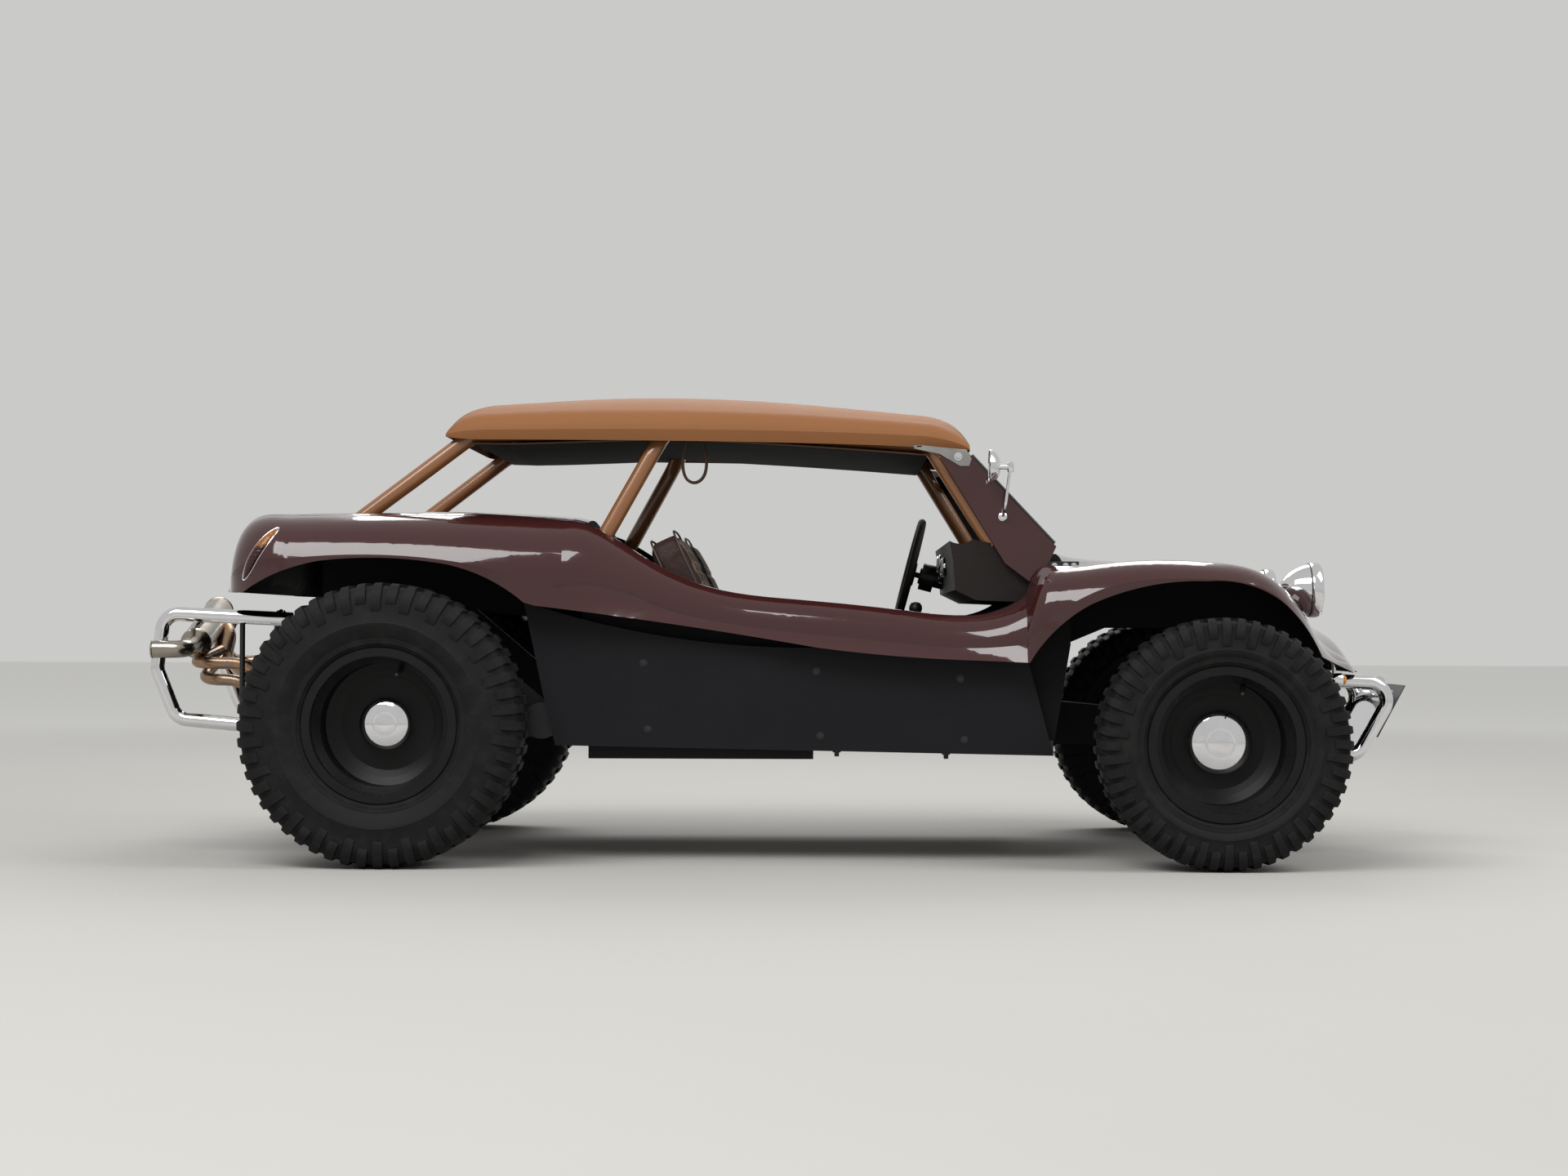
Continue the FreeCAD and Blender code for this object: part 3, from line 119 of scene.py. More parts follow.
class Finish:
    # a material being built: its tree, its shader and the usual patterns in metres
    def __init__(self, name, colour, roughness, metallic=0.0, **fixed):
        self.material = bpy.data.materials.new(name)
        self.material.use_nodes = True
        self.tree = self.material.node_tree
        self.shader = self.tree.nodes["Principled BSDF"]
        self.set("Base Color", tuple(colour) + (1,))
        self.set("Roughness", roughness)
        self.set("Metallic", metallic)
        for socket, value in fixed.items():
            self.set(socket.replace("_", " "), value)
        self.material.diffuse_color = tuple(colour) + (1,)

    def set(self, socket, value):
        setSocket(self.tree, self.shader.inputs[socket], value)

    def make(self, kind, settings=None, values=None, out=0):
        return makeNode(self.tree, kind, settings, values, out)

    def place(self):
        return self.make("ShaderNodeTexCoord", out=3)

    def noise(self, size, detail=3.0, rough=0.5, stretch=(1, 1, 1), out=0):
        # size is the width of one patch in metres
        place = self.make("ShaderNodeMapping", None, {"Vector": self.place(), "Scale": stretch})
        return self.make("ShaderNodeTexNoise", None, {"Vector": place, "Scale": 1.0 / size,
                         "Detail": detail, "Roughness": rough}, out)

    def cells(self, size):
        # distance to the edge of cells of the given width
        return self.make("ShaderNodeTexVoronoi", {"feature": "DISTANCE_TO_EDGE"},
                         {"Vector": self.place(), "Scale": 1.0 / size})

    def facing(self):
        return self.make("ShaderNodeNewGeometry", out=1)

    def bump(self, height, depth):
        # depth in metres for a height that runs from 0 to 1
        self.set("Normal", self.make("ShaderNodeBump", None, {"Height": height, "Strength": 1.0,
                                                              "Distance": depth}))


def worn(finish, colour, spread, size):
    # the colour drifts a little lighter and darker over patches of the given size
    mask = finish.noise(size, 4.0, 0.6)
    finish.set("Base Color", blendColour(mask, scaled(colour, 1 - spread), scaled(colour, 1 + spread)))
    return mask


# finishes

colours = {
    "bodyPaint": (0.036, 0.0088, 0.0088),
    "roofSkin": (0.235, 0.098, 0.037),
    "cagePaint": (0.22, 0.088, 0.030),
    "blackPanel": (0.0075, 0.0075, 0.0095),
    "blackSteel": (0.008, 0.008, 0.009),
    # near black painted shade for the inside of the tub and the faces under the roof
    "underside": (0.0065, 0.0065, 0.007),
    "rubber": (0.0085, 0.0085, 0.009),
    "leather": (0.034, 0.016, 0.012),
}


def makeBodyPaint():
    f = Finish("bodyPaint", colours["bodyPaint"], 0.16, Coat_Weight=1.0, Coat_Roughness=0.03,
               Specular_IOR_Level=0.12)
    drift = f.noise(0.35, 3.0)
    warm = tuple(c * k for c, k in zip(colours["bodyPaint"], (1.2, 1.3, 1.3)))
    gloss = blendColour(drift, colours["bodyPaint"], warm)
    tubShade = paintedTubShade(f)
    # painted shade: the inside of the tub turns near black, its faces rougher and uncoated
    f.set("Base Color", blendColour(tubShade, gloss, colours["underside"]))
    dust = f.noise(0.02, 6.0, 0.7) * f.facing().part(2).smooth(0.2, 1.0)
    f.set("Roughness", 0.12 + dust * 0.14 + tubShade * 0.6)
    f.set("Coat Weight", 1.0 - tubShade)
    f.bump(f.noise(0.11, 2.0) + f.noise(0.006, 3.0) * tubShade * 0.5, 0.0012)
    return f.material


def paintedTubShade(f):
    # 1 on the inner faces of the moulding, the walls and ends of the cockpit and the wheel wells: painted shade where
    # the inside of the tub lies in shadow
    at = f.place()
    facing = f.facing()
    x, y, z = at.part(0), at.part(1), at.part(2)
    middle = f.make("ShaderNodeClamp", None, {"Value": x, "Min": -1.3, "Max": 1.4})
    outward = facing.part(0) * (x - middle) + facing.part(1) * y + facing.part(2) * (z - 0.6)
    inward = outward < -0.002
    across = y.run("ABSOLUTE", y)
    cockpit = (across < 0.597) * (x > -0.62) * (x < 0.90)
    walls = cockpit * (z < 0.80)
    ends = cockpit * (facing.part(0).run("ABSOLUTE", facing.part(0)) > 0.7)
    wells = (across > 0.43) * (across < 0.45) * (facing.part(1).run("ABSOLUTE", facing.part(1)) > 0.9)
    return (inward + walls + ends + wells).clamp()


def makeMatte(name, colour, roughness, grain, depth, spread, patch, metallic=0.0, **fixed):
    f = Finish(name, colour, roughness, metallic, **fixed)
    mask = worn(f, colour, spread, patch)
    f.set("Roughness", (roughness - 0.06) + mask * 0.12)
    f.bump(f.noise(grain, 4.0, 0.6), depth)
    return f.material


def makeLeather(name, colour):
    f = Finish(name, colour, 0.5, Specular_IOR_Level=0.22, Sheen_Weight=0.02)
    mask = worn(f, colour, 0.22, 0.06)
    f.set("Roughness", 0.42 + mask * 0.18)
    cells = f.cells(0.0035)
    creases = f.noise(0.03, 5.0, 0.65)
    f.bump(cells.smooth(0.0, 0.25) * 0.7 + creases * 0.5, 0.0006)
    return f.material


def makeChrome():
    f = Finish("chrome", (0.78, 0.78, 0.80), 0.06, 1.0)
    mask = f.noise(0.03, 5.0, 0.6)
    f.set("Base Color", blendColour(mask, (0.70, 0.70, 0.72), (0.86, 0.86, 0.88)))
    f.set("Roughness", 0.035 + mask * 0.06)
    return f.material


def makeGlass(name, solid):
    f = Finish(name, (0.9, 0.95, 0.94), 0.02, IOR=1.45)
    haze = f.noise(0.12, 4.0)
    f.set("Alpha", solid + haze * 0.05)
    f.material.surface_render_method = "DITHERED"
    return f.material


def makeRoofSkin():
    # grained covering, with the faces that look down painted near black as painted shade
    f = Finish("roofSkin", colours["roofSkin"], 0.6, Specular_IOR_Level=0.18)
    patch = f.noise(0.25, 4.0, 0.6)
    skin = blendColour(patch, scaled(colours["roofSkin"], 0.92), scaled(colours["roofSkin"], 1.08))
    # painted shade on the faces that look down
    under = f.facing().part(2) < -0.35
    f.set("Base Color", blendColour(under, skin, colours["underside"]))
    f.set("Roughness", 0.55 + patch * 0.12 + under * 0.2)
    f.bump(f.cells(0.0022).smooth(0.0, 0.3) * 0.6 + f.noise(0.012, 4.0) * 0.5, 0.0004)
    return f.material


def makeLens(name, colour, upper=None):
    # ribbed lens; upper is the colour above the join, where there is one
    f = Finish(name, colour, 0.12, Coat_Weight=0.4, Coat_Roughness=0.05, Specular_IOR_Level=0.3)
    z = f.place().part(2)
    shade = blendColour(f.noise(0.03, 3.0), scaled(colour, 0.85), scaled(colour, 1.15))
    if upper:
        shade = blendColour(z > 0.920, shade, upper)
    ribs = f.make("ShaderNodeTexWave", {"bands_direction": "Z"}, {"Vector": f.place(), "Scale": 28.0}, 1)
    f.set("Base Color", shade)
    f.set("Roughness", 0.10 + f.noise(0.02, 3.0) * 0.1)
    f.bump(ribs, 0.0012)
    return f.material


def makePlaid():
    # woven check: two sets of broad bands with thin lines between
    f = Finish("plaidCloth", (0.10, 0.07, 0.05), 0.85, Specular_IOR_Level=0.2, Sheen_Weight=0.04)
    y = f.place().part(1)
    z = f.place().part(2) + f.place().part(0) * 0.5
    broad = [((v * 22.0).run("FRACT", v * 22.0)).smooth(0.45, 0.5) for v in (y, z)]
    thin = [((v * 44.0).run("FRACT", v * 44.0)) > 0.88 for v in (y, z)]
    field = blendColour((broad[0] + broad[1]) * 0.5, (0.11, 0.075, 0.055), (0.030, 0.016, 0.012))
    f.set("Base Color", blendColour((thin[0] + thin[1]).clamp() * 0.6, field, (0.20, 0.155, 0.115)))
    f.set("Roughness", 0.78 + f.noise(0.01, 3.0) * 0.15)
    f.bump(f.noise(0.0012, 2.0, stretch=(1, 3, 1)), 0.0003)
    return f.material


def makeHeatedSteel():
    # headers: bronze and straw tints that come with heat
    f = Finish("heatedSteel", (0.34, 0.22, 0.14), 0.25, 1.0)
    tint = f.noise(0.09, 3.0, 0.6).smooth(0.3, 0.7)
    f.set("Base Color", blendColour(tint, (0.38, 0.235, 0.135), (0.27, 0.205, 0.165)))
    f.set("Roughness", 0.2 + f.noise(0.02, 4.0) * 0.15)
    f.bump(f.noise(0.015, 3.0), 0.0003)
    return f.material


def makeTyreRubber():
    f = Finish("tyreRubber", colours["rubber"], 0.72, Specular_IOR_Level=0.14)
    dust = f.noise(0.05, 6.0, 0.65).smooth(0.42, 0.75)
    f.set("Base Color", blendColour(dust, colours["rubber"], (0.017, 0.0165, 0.016)))
    f.set("Roughness", 0.62 + dust * 0.22)
    f.bump(f.noise(0.004, 5.0, 0.7), 0.0004)
    return f.material


mattes = {
    # colour, roughness, width and depth of the grain, spread of the colour, size of its patches, metal
    "cagePaint": (colours["cagePaint"], 0.24, 0.01, 0.0001, 0.12, 0.10),
    "blackPanel": (colours["blackPanel"], 0.55, 0.0025, 0.0004, 0.3, 0.15),
    "blackSteel": (colours["blackSteel"], 0.45, 0.006, 0.0003, 0.3, 0.05),
    "rimPaint": ((0.0050, 0.0050, 0.0055), 0.42, 0.004, 0.0003, 0.35, 0.05),
    "drumIron": ((0.05, 0.045, 0.042), 0.7, 0.003, 0.0008, 0.35, 0.03, 0.6),
    "castAlloy": ((0.30, 0.30, 0.30), 0.55, 0.003, 0.0006, 0.25, 0.04, 0.9),
    "bareSteel": ((0.34, 0.33, 0.32), 0.38, 0.003, 0.0003, 0.25, 0.04, 1.0),
    "stainless": ((0.36, 0.32, 0.27), 0.24, 0.02, 0.0003, 0.18, 0.06, 1.0),
    "blackTrim": ((0.012, 0.012, 0.012), 0.4, 0.003, 0.0002, 0.25, 0.05),
    "plateBlank": ((0.03, 0.03, 0.032), 0.4, 0.01, 0.0002, 0.2, 0.08),
    "mirrorGlass": ((0.70, 0.72, 0.74), 0.08, 0.05, 0.00005, 0.05, 0.05, 1.0),
    "sealRubber": ((0.010, 0.010, 0.011), 0.5, 0.002, 0.0002, 0.2, 0.03),
    "piping": ((0.045, 0.028, 0.022), 0.55, 0.001, 0.0002, 0.2, 0.02),
    "cageSeam": ((0.085, 0.038, 0.018), 0.6, 0.002, 0.0002, 0.2, 0.03),
    "linerCloth": ((0.0050, 0.0048, 0.0062), 0.85, 0.0015, 0.0003, 0.25, 0.08),
    "paleSeam": ((0.62, 0.53, 0.42), 0.5, 0.002, 0.0002, 0.15, 0.03),
    "dialFace": ((0.015, 0.015, 0.015), 0.4, 0.002, 0.0001, 0.2, 0.02),
}
shine = {
    "cagePaint": {"Coat_Weight": 0.5}, "blackPanel": {"Specular_IOR_Level": 0.16},
    "rimPaint": {"Specular_IOR_Level": 0.22}, "linerCloth": {"Specular_IOR_Level": 0.12},
}
leathers = {"dashTrim": (0.011, 0.007, 0.006), "seatLeather": colours["leather"], "wheelTrim": (0.014, 0.009, 0.008),
            "strapLeather": (0.045, 0.020, 0.012)}
paints = {
    "bodyPaint": makeBodyPaint(), "roofSkin": makeRoofSkin(), "chrome": makeChrome(), "plaid": makePlaid(),
    "heatedSteel": makeHeatedSteel(), "tyreRubber": makeTyreRubber(), "screenGlass": makeGlass("screenGlass", 0.10),
    "lampGlass": makeGlass("lampGlass", 0.22), "amberLens": makeLens("amberLens", (0.55, 0.18, 0.012)),
    "tailLens": makeLens("tailLens", (0.030, 0.002, 0.004), (0.24, 0.078, 0.008)),
}
for name, row in mattes.items():
    paints[name] = makeMatte(name, *row, **shine.get(name, {}))
for name, colour in leathers.items():
    paints[name] = makeLeather(name, colour)

# the pieces carried over from the solids, by finish
carried = {
    "bodyPaint": "body_tub windscreen_frame", "screenGlass": "windscreen_glass", "roofSkin": "roof_shell",
    "cagePaint": "main_hoop rear_stays screen_stays", "blackPanel": "floor_pan side_panels",
    "blackSteel": "front_beam front_arms knuckle_left knuckle_right shock_absorbers rear_axle",
    "bareSteel": "tie_rods", "castAlloy": "gearbox engine", "chrome": "front_bumper rear_bumper headlamp_shells",
    "plateBlank": "front_plate", "stainless": "muffler", "dashTrim": "dashboard", "blackTrim": "steering_column",
    "wheelTrim": "steering_wheel", "seatLeather": "front_seats",
}
finishOf = {piece: paint for paint, pieces in carried.items() for piece in pieces.split()}
for end, side in wheelPlaces:
    for piece, paint in (("tyre", "tyreRubber"), ("rim", "rimPaint"), ("hub_cap", "chrome"),
                         ("brake_drum", "drumIron")):
        finishOf["%s_%s_%s" % (piece, end, side)] = paint
for name, thing in nodes.items():
    thing.data.materials.clear()
    thing.data.materials.append(paints[finishOf.get(name, "blackTrim")])
print("finishes set on", len(nodes), "pieces")


# building helpers

def mm(*values):
    # pairs of millimetres, as metres
    return [(values[i] / 1000, values[i + 1] / 1000) for i in range(0, len(values), 2)]


def fromRear(x, y, z):
    # a place in millimetres from the rear axle, the middle of the car and the ground
    return Vector((rearAxleX + x / 1000, y / 1000, z / 1000))


def path(places, side=1):
    return [fromRear(x, side * y, z) for x, y, z in places]


def hang(name, data, paint, body, slot):
    # links a mesh or a curve, paints it and sets it on its body
    data.materials.append(paints[paint])
    thing = bpy.data.objects.new(name, data)
    bpy.context.scene.collection.objects.link(thing)
    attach(thing, body)
    return thing


def addPiece(name, points, faces, paint, body="chassis", slot=None, smooth=True):
    # a mesh piece in the car's own frame, riding on one body
    mesh = bpy.data.meshes.new(name)
    mesh.from_pydata([tuple(p) for p in points], [], faces)
    work = bmesh.new()
    work.from_mesh(mesh)
    bmesh.ops.remove_doubles(work, verts=work.verts, dist=0.00001)
    bmesh.ops.recalc_face_normals(work, faces=work.faces)
    work.to_mesh(mesh)
    work.free()
    if smooth:
        mesh.shade_smooth()
    return hang(name, mesh, paint, body, slot)


def frameAlong(way):
    # two directions square to a third
    way = Vector(way).normalized()
    first = way.cross(Vector((0, 0, 1)) if abs(way.z) < 0.9 else Vector((1, 0, 0))).normalized()
    return first, way.cross(first).normalized(), way


def around(centre, first, second, radius, turn):
    return centre + first * radius * math.cos(turn) + second * radius * math.sin(turn)


def ladder(rows, steps, capped=True):
    # faces between rings of points; the ends are closed where capped is set
    faces = []
    for row in range(rows - 1):
        for i in range(steps):
            j = (i + 1) % steps
            faces.append((row * steps + i, row * steps + j, (row + 1) * steps + j, (row + 1) * steps + i))
    if capped:
        faces += [tuple(range(steps)), tuple(range((rows - 1) * steps, rows * steps))]
    return faces


def joined(parts):
    points, faces = [], []
    for spots, sheets in parts:
        base = len(points)
        points += [Vector(p) for p in spots]
        faces += [tuple(base + i for i in face) for face in sheets]
    return points, faces


def lathe(profile, centre, axis, steps=32):
    # turned form from (radius, station) pairs along an axis
    first, second, way = frameAlong(axis)
    points = [around(Vector(centre) + way * along, first, second, radius, 2 * math.pi * i / steps)
              for radius, along in profile for i in range(steps)]
    return points, ladder(len(profile), steps, False)


def tube(corners, radius, bend=0.04, steps=14):
    # round bar along a line of corners, each bent to a curve
    corners = [Vector(c) for c in corners]
    line = [corners[0]]
    for before, corner, after in zip(corners, corners[1:], corners[2:]):
        reach = min(bend, (corner - before).length * 0.48, (after - corner).length * 0.48)
        start = corner + (before - corner).normalized() * reach
        end = corner + (after - corner).normalized() * reach
        for k in range(8):
            t = k / 7
            line.append(start * (1 - t) ** 2 + corner * 2 * t * (1 - t) + end * t * t)
    line.append(corners[-1])
    side = frameAlong(line[1] - line[0])[0]
    points = []
    for i, spot in enumerate(line):
        ahead = (line[min(i + 1, len(line) - 1)] - line[max(i - 1, 0)]).normalized()
        side = (side - ahead * side.dot(ahead)).normalized()
        points += [around(spot, side, ahead.cross(side), radius, 2 * math.pi * k / steps) for k in range(steps)]
    return points, ladder(len(line), steps)


def block(low, high, edge=0.004):
    # cast block with its edges broken
    points = []
    for z, inset in ((low[2], edge), (low[2] + edge, 0.0), (high[2] - edge, 0.0), (high[2], edge)):
        x0, x1, y0, y1 = low[0] + inset, high[0] - inset, low[1] + inset, high[1] - inset
        points += [(x0 + edge, y0, z), (x1 - edge, y0, z), (x1, y0 + edge, z), (x1, y1 - edge, z),
                   (x1 - edge, y1, z), (x0 + edge, y1, z), (x0, y1 - edge, z), (x0, y0 + edge, z)]
    return points, ladder(4, 8)


def slab(outline, thickness, edge=0.0008):
    # plate of any outline, thickness as a vector, its rims broken
    outline = [Vector(p) for p in outline]
    thickness = Vector(thickness)
    middle = sum(outline, Vector()) / len(outline)
    share = edge / thickness.length
    points = []
    for level, inset in ((0.0, edge), (share, 0.0), (1 - share, 0.0), (1.0, edge)):
        points += [p + (middle - p).normalized() * inset + thickness * level for p in outline]
    return points, ladder(4, len(outline))


def plate(outline, y, thick, edge=0.8):
    # upright plate from stations and heights, all in millimetres
    return slab([fromRear(x, y, z) for x, z in outline], (0, thick / 1000, 0), edge / 1000)


def slotOf(paint):
    return "chrome" if paint == "chrome" else None


def addTurned(name, profile, centre, axis, paint, body="chassis", steps=32):
    points, faces = lathe(profile, centre, axis, steps)
    return addPiece(name, points, faces, paint, body, slotOf(paint))


def addForm(name, parts, paint, angle=35):
    # several parts as one piece, with its sharp edges kept
    points, faces = joined(parts)
    piece = addPiece(name, points, faces, paint, slot=slotOf(paint))
    piece.data.set_sharp_from_angle(angle=math.radians(angle))
    return piece


def addLine(name, points, radius, paint, closed=False):
    # a round line: piping, seals and wires
    curve = bpy.data.curves.new(name, "CURVE")
    curve.dimensions = "3D"
    curve.bevel_depth = radius
    curve.bevel_resolution = 3
    curve.use_fill_caps = True
    line = curve.splines.new("NURBS")
    line.points.add(len(points) - 1)
    for spot, p in zip(line.points, points):
        spot.co = tuple(p) + (1,)
    line.order_u = 3
    line.use_endpoint_u = not closed
    line.use_cyclic_u = closed
    line.resolution_u = 6
    return hang(name, curve, paint, "chassis", slotOf(paint))


def boltPoints(centre, axis, radius, height):
    # washer, and a hexagon head with a chamfered top
    seat, crown = height * 0.25, height * 0.85
    washer, rim = lathe([(radius * 1.5, 0), (radius * 1.5, seat)], centre, axis, 24)
    head, flats = lathe([(radius, seat), (radius, crown), (radius * 0.85, height)], centre, axis, 6)
    return joined([(washer, rim + [tuple(range(24, 48))]), (head, flats + [tuple(range(12, 18))])])


def addBolts(name, rows, paint):
    # rows: centre, axis, radius, height
    points, faces = joined([boltPoints(*row) for row in rows])
    return addPiece(name, points, faces, paint, smooth=False)


def surfaceOf(node):
    # the outside of a solid, to set pieces on
    thing = nodes[node]
    place = thing.matrix_world
    return BVHTree.FromPolygons([place @ v.co for v in thing.data.vertices],
                                [tuple(p.vertices) for p in thing.data.polygons])


def hit(tree, start, way, fallback):
    spot = tree.ray_cast(Vector(start), Vector(way))[0]
    return spot if spot is not None else Vector(fallback)


# tyres

tyres = {
    # lugs a side, share of the pitch that one fills, and millimetres: depth, shift of every second one, reach down
    "lugs": 52, "share": 0.74, "depth": 8, "stagger": 22, "reach": 80, "seat": 203.5, "flange": 226.5, "steps": 96,
    # skew, notch and draft of a lug as shares of the pitch
    "skew": 0.22, "notch": 0.06, "draft": 0.05,
    "front": {"radius": 359.5, "half": 122.5, "tread": 108, "bead": 91.7, "x": frontAxleX},
    "rear": {"radius": 406, "half": 145, "tread": 123, "bead": 102.7, "x": rearAxleX},
}


def tyreProfile(size):
    # half section from the bead out to the middle of the tread, as radius and station
    r, half, tread, bead = (size[k] for k in ("radius", "half", "tread", "bead"))
    root, side = r - tyres["depth"], r - 60
    seat, flange = tyres["seat"], tyres["flange"]
    belly = (flange + side) / 2
    return mm(seat, bead, flange - 4, bead, flange, bead + 5, flange + 6, bead + 10, flange + 8, bead + 14,
              flange + 12, bead + 13.5, flange + 18, bead + 17, flange + 22, bead + 16.5, belly - 6, half - 6,
              belly + 6, half - 3.5, belly + 10, half - 5.5, side - 4, half - 4.5, side + 12, half - 6.5,
              r - 32, half - 13, root - 8, tread - 4, root - 2, tread - 18, root, tread - 50, root, 0)


def lugRows(size, short):
    # foot and top of a shoulder lug at each station from the middle of the tread down the side wall
    r, half, tread = (size[k] for k in ("radius", "half", "tread"))
    root, end = r - tyres["depth"], r - tyres["reach"] + (tyres["stagger"] if short else 0)
    top = mm(r, 12, r, tread * 0.35, r, tread - 22, r - 4, tread - 6, r - 15, tread + 8, r - 34, half - 1,
             end + 8, half, end, half - 3)
    foot = mm(root - 3, 12, root - 3, tread * 0.35, root - 4, tread - 22, root - 8, tread - 10, root - 14, tread - 6,
              r - 36, half - 16, end + 8, half - 8, end, half - 7)
    return list(zip(foot, top))


def buildTyre(end, side):
    size = tyres[end]
    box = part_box("tyre_%s_%s" % (end, side))
    centre = Vector((size["x"], (box[0].y + box[1].y) / 2, size["radius"] / 1000))
    half = tyreProfile(size)
    ring = half + [(r, -y) for r, y in reversed(half[:-1])]
    ring.append(ring[0])
    points, faces = lathe(ring, centre, (0, 1, 0), tyres["steps"])
    first, second, way = frameAlong((0, 1, 0))

    def spot(radius, y, turn):
        return around(centre + way * y, first, second, radius, turn)

    pitch = 2 * math.pi / tyres["lugs"]
    draft = tyres["draft"] * pitch
    for flank in (1, -1):
        for k in range(tyres["lugs"]):
            start = (k + (0.5 if flank < 0 else 0.0)) * pitch
            rows = lugRows(size, k % 2)
            base = len(points)
            count = len(rows)
            for index, ((fr, fy), (tr, ty)) in enumerate(rows):
                along = index / (count - 1)
                skew = tyres["skew"] * (1 - along) * pitch
                width = pitch * tyres["share"] * (0.86 + 0.14 * along)
                notch = tyres["notch"] * pitch if index in (2, 3) else 0.0
                a0, a1 = start + skew + notch, start + skew + width - notch
                points += [spot(fr, fy * flank, a0), spot(tr, ty * flank, a0 + draft),
                           spot(tr, ty * flank, (a0 + a1) / 2), spot(tr, ty * flank, a1 - draft),
                           spot(fr, fy * flank, a1)]
            for index in range(count - 1):
                for j in range(4):
                    p = base + index * 5 + j
                    faces.append((p, p + 1, p + 6, p + 5))
            faces.append(tuple(base + j for j in range(5)))
            faces.append(tuple(base + (count - 1) * 5 + j for j in range(5)))
    piece = addPiece("tyre%s%s" % (end.title(), side.title()), points, faces, "tyreRubber",
                     "wheel_%s_%s" % (end, side), "tyre")
    piece.data.set_sharp_from_angle(angle=math.radians(38))
    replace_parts(piece, "tyre_%s_%s" % (end, side))


for end, side in wheelPlaces:
    buildTyre(end, side)
print("tyres built")


# wheels: valves and the raised middle of each cap

wheels = {"valveRadius": 0.163, "valveTurn": 1.25, "valveDeep": 0.052, "valveLean": 0.45, "crown": 0.017,
          # share of the cap's radius and of its crown, from the shoulder to the middle
          "capFace": [(0.985, -0.12), (0.955, 0.0), (0.90, 0.20), (0.80, 0.42), (0.66, 0.63), (0.50, 0.79),
                      (0.42, 0.84), (0.405, 0.80), (0.385, 0.82), (0.33, 0.90), (0.22, 0.97), (0.10, 1.0)]}


def dressWheel(end, side):
    out = 1 if side == "left" else -1
    body = "wheel_%s_%s" % (end, side)
    low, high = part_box("hub_cap_%s_%s" % (end, side))
    face, back = (high.y, low.y) if out > 0 else (low.y, high.y)
    x, z = (low.x + high.x) / 2, (low.z + high.z) / 2
    radius = (high.x - low.x) / 2
    crown = wheels["crown"]
    shoulder = -crown
    deep = (back - face) * out
    profile = [(radius, deep), (radius, deep + 0.004), (radius - 0.002, shoulder - 0.006)]
    profile += [(radius * share, shoulder + crown * up) for share, up in wheels["capFace"]] + [(0.0004, 0.0)]
    cap = addTurned("hubCap%s%s" % (end.title(), side.title()), profile, (x, face, z), (0, out, 0),
                    "chrome", body, 64)
    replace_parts(cap, "hub_cap_%s_%s" % (end, side))
    rimLow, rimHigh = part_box("rim_%s_%s" % (end, side))
    lip = rimHigh.y if out > 0 else rimLow.y
    turn = wheels["valveTurn"]
    seat = Vector((x + wheels["valveRadius"] * math.cos(turn), lip - out * wheels["valveDeep"],
                   z + wheels["valveRadius"] * math.sin(turn)))
    lean = wheels["valveLean"]
    inward = Vector((-math.cos(turn) * lean, out, -math.sin(turn) * lean)).normalized()
    valve = mm(8.5, -16, 8.5, -2, 6, 4, 4.2, 10, 4.2, 22, 5.2, 23, 5.2, 34, 0.4, 35)
    addTurned("valve%s%s" % (end.title(), side.title()), valve, seat, inward, "sealRubber", body, 16)


for end, side in wheelPlaces:
    dressWheel(end, side)
print("wheels dressed")


# windscreen seals and hinges

screen = {"foot": (0.800, 0.928), "top": (0.541, 1.203), "halfWidth": 0.541, "seal": 0.0075, "edgeSeal": 0.0055,
          # how far the seal's loop stays off the ends of the frame, and how deep it lies
          "edges": (0.048, 0.038), "sink": 0.004, "postY": 0.556,
          "hingeX": (0.794, 0.827, 0.851), "hingeY": 0.566, "hingeZ": 0.871,
          # ends of the hinge plate, half its height, and its lift and inset from the foot to the face
          "plateX": (0.776, 0.866), "plateHalf": 0.013, "plateFace": mm(0, 0, 4, 0, 5.5, 1.5)}


def buildScreenTrim():
    foot = Vector((screen["foot"][0], 0, screen["foot"][1]))
    top = Vector((screen["top"][0], 0, screen["top"][1]))
    slope = (top - foot).normalized()
    ahead = Vector((slope.z, 0, -slope.x))
    sink = screen["sink"]
    low = foot + slope * screen["edges"][0] - ahead * sink
    high = top - slope * screen["edges"][1] - ahead * sink
    half = screen["halfWidth"] - sink
    corners = [spot + Vector((0, y, 0)) for spot, y in ((low, -half), (high, -half), (high, half), (low, half))]
    loop = []
    for i, corner in enumerate(corners):
        before = (corners[i - 1] - corner).normalized()
        after = (corners[(i + 1) % 4] - corner).normalized()
        loop += [corner + before * 0.10, corner + before * 0.03, corner, corner + after * 0.03, corner + after * 0.10]
    addLine("screenSeal", loop, screen["seal"], "sealRubber", closed=True)
    face = screen["plateFace"][-1][0]
    for side, tag in sides:
        edge = [foot + slope * t + ahead * 0.003 + Vector((0, side * screen["postY"], 0))
                for t in (0.01, 0.15, 0.3, 0.366)]
        addLine("postSeal" + tag, edge, screen["edgeSeal"], "sealRubber")
        y, z, half = side * screen["hingeY"], screen["hingeZ"], screen["plateHalf"]
        points = []
        for lift, inset in screen["plateFace"]:
            x0, x1 = screen["plateX"][0] + inset, screen["plateX"][1] - inset
            z0, z1 = z - half + inset, z + half - inset
            points += [(px, y + side * lift, pz) for px, pz in ((x0, z0), (x1, z0), (x1, z1), (x0, z1))]
        addPiece("hingePlate" + tag, points, ladder(3, 4, False) + [(8, 9, 10, 11)], "blackSteel", smooth=False)
        addBolts("hingeBolts" + tag, [((x, y + side * face, z), (0, side, 0), 0.006, 0.007)
                                      for x in screen["hingeX"]], "chrome")


buildScreenTrim()
print("windscreen trimmed")


# lamps

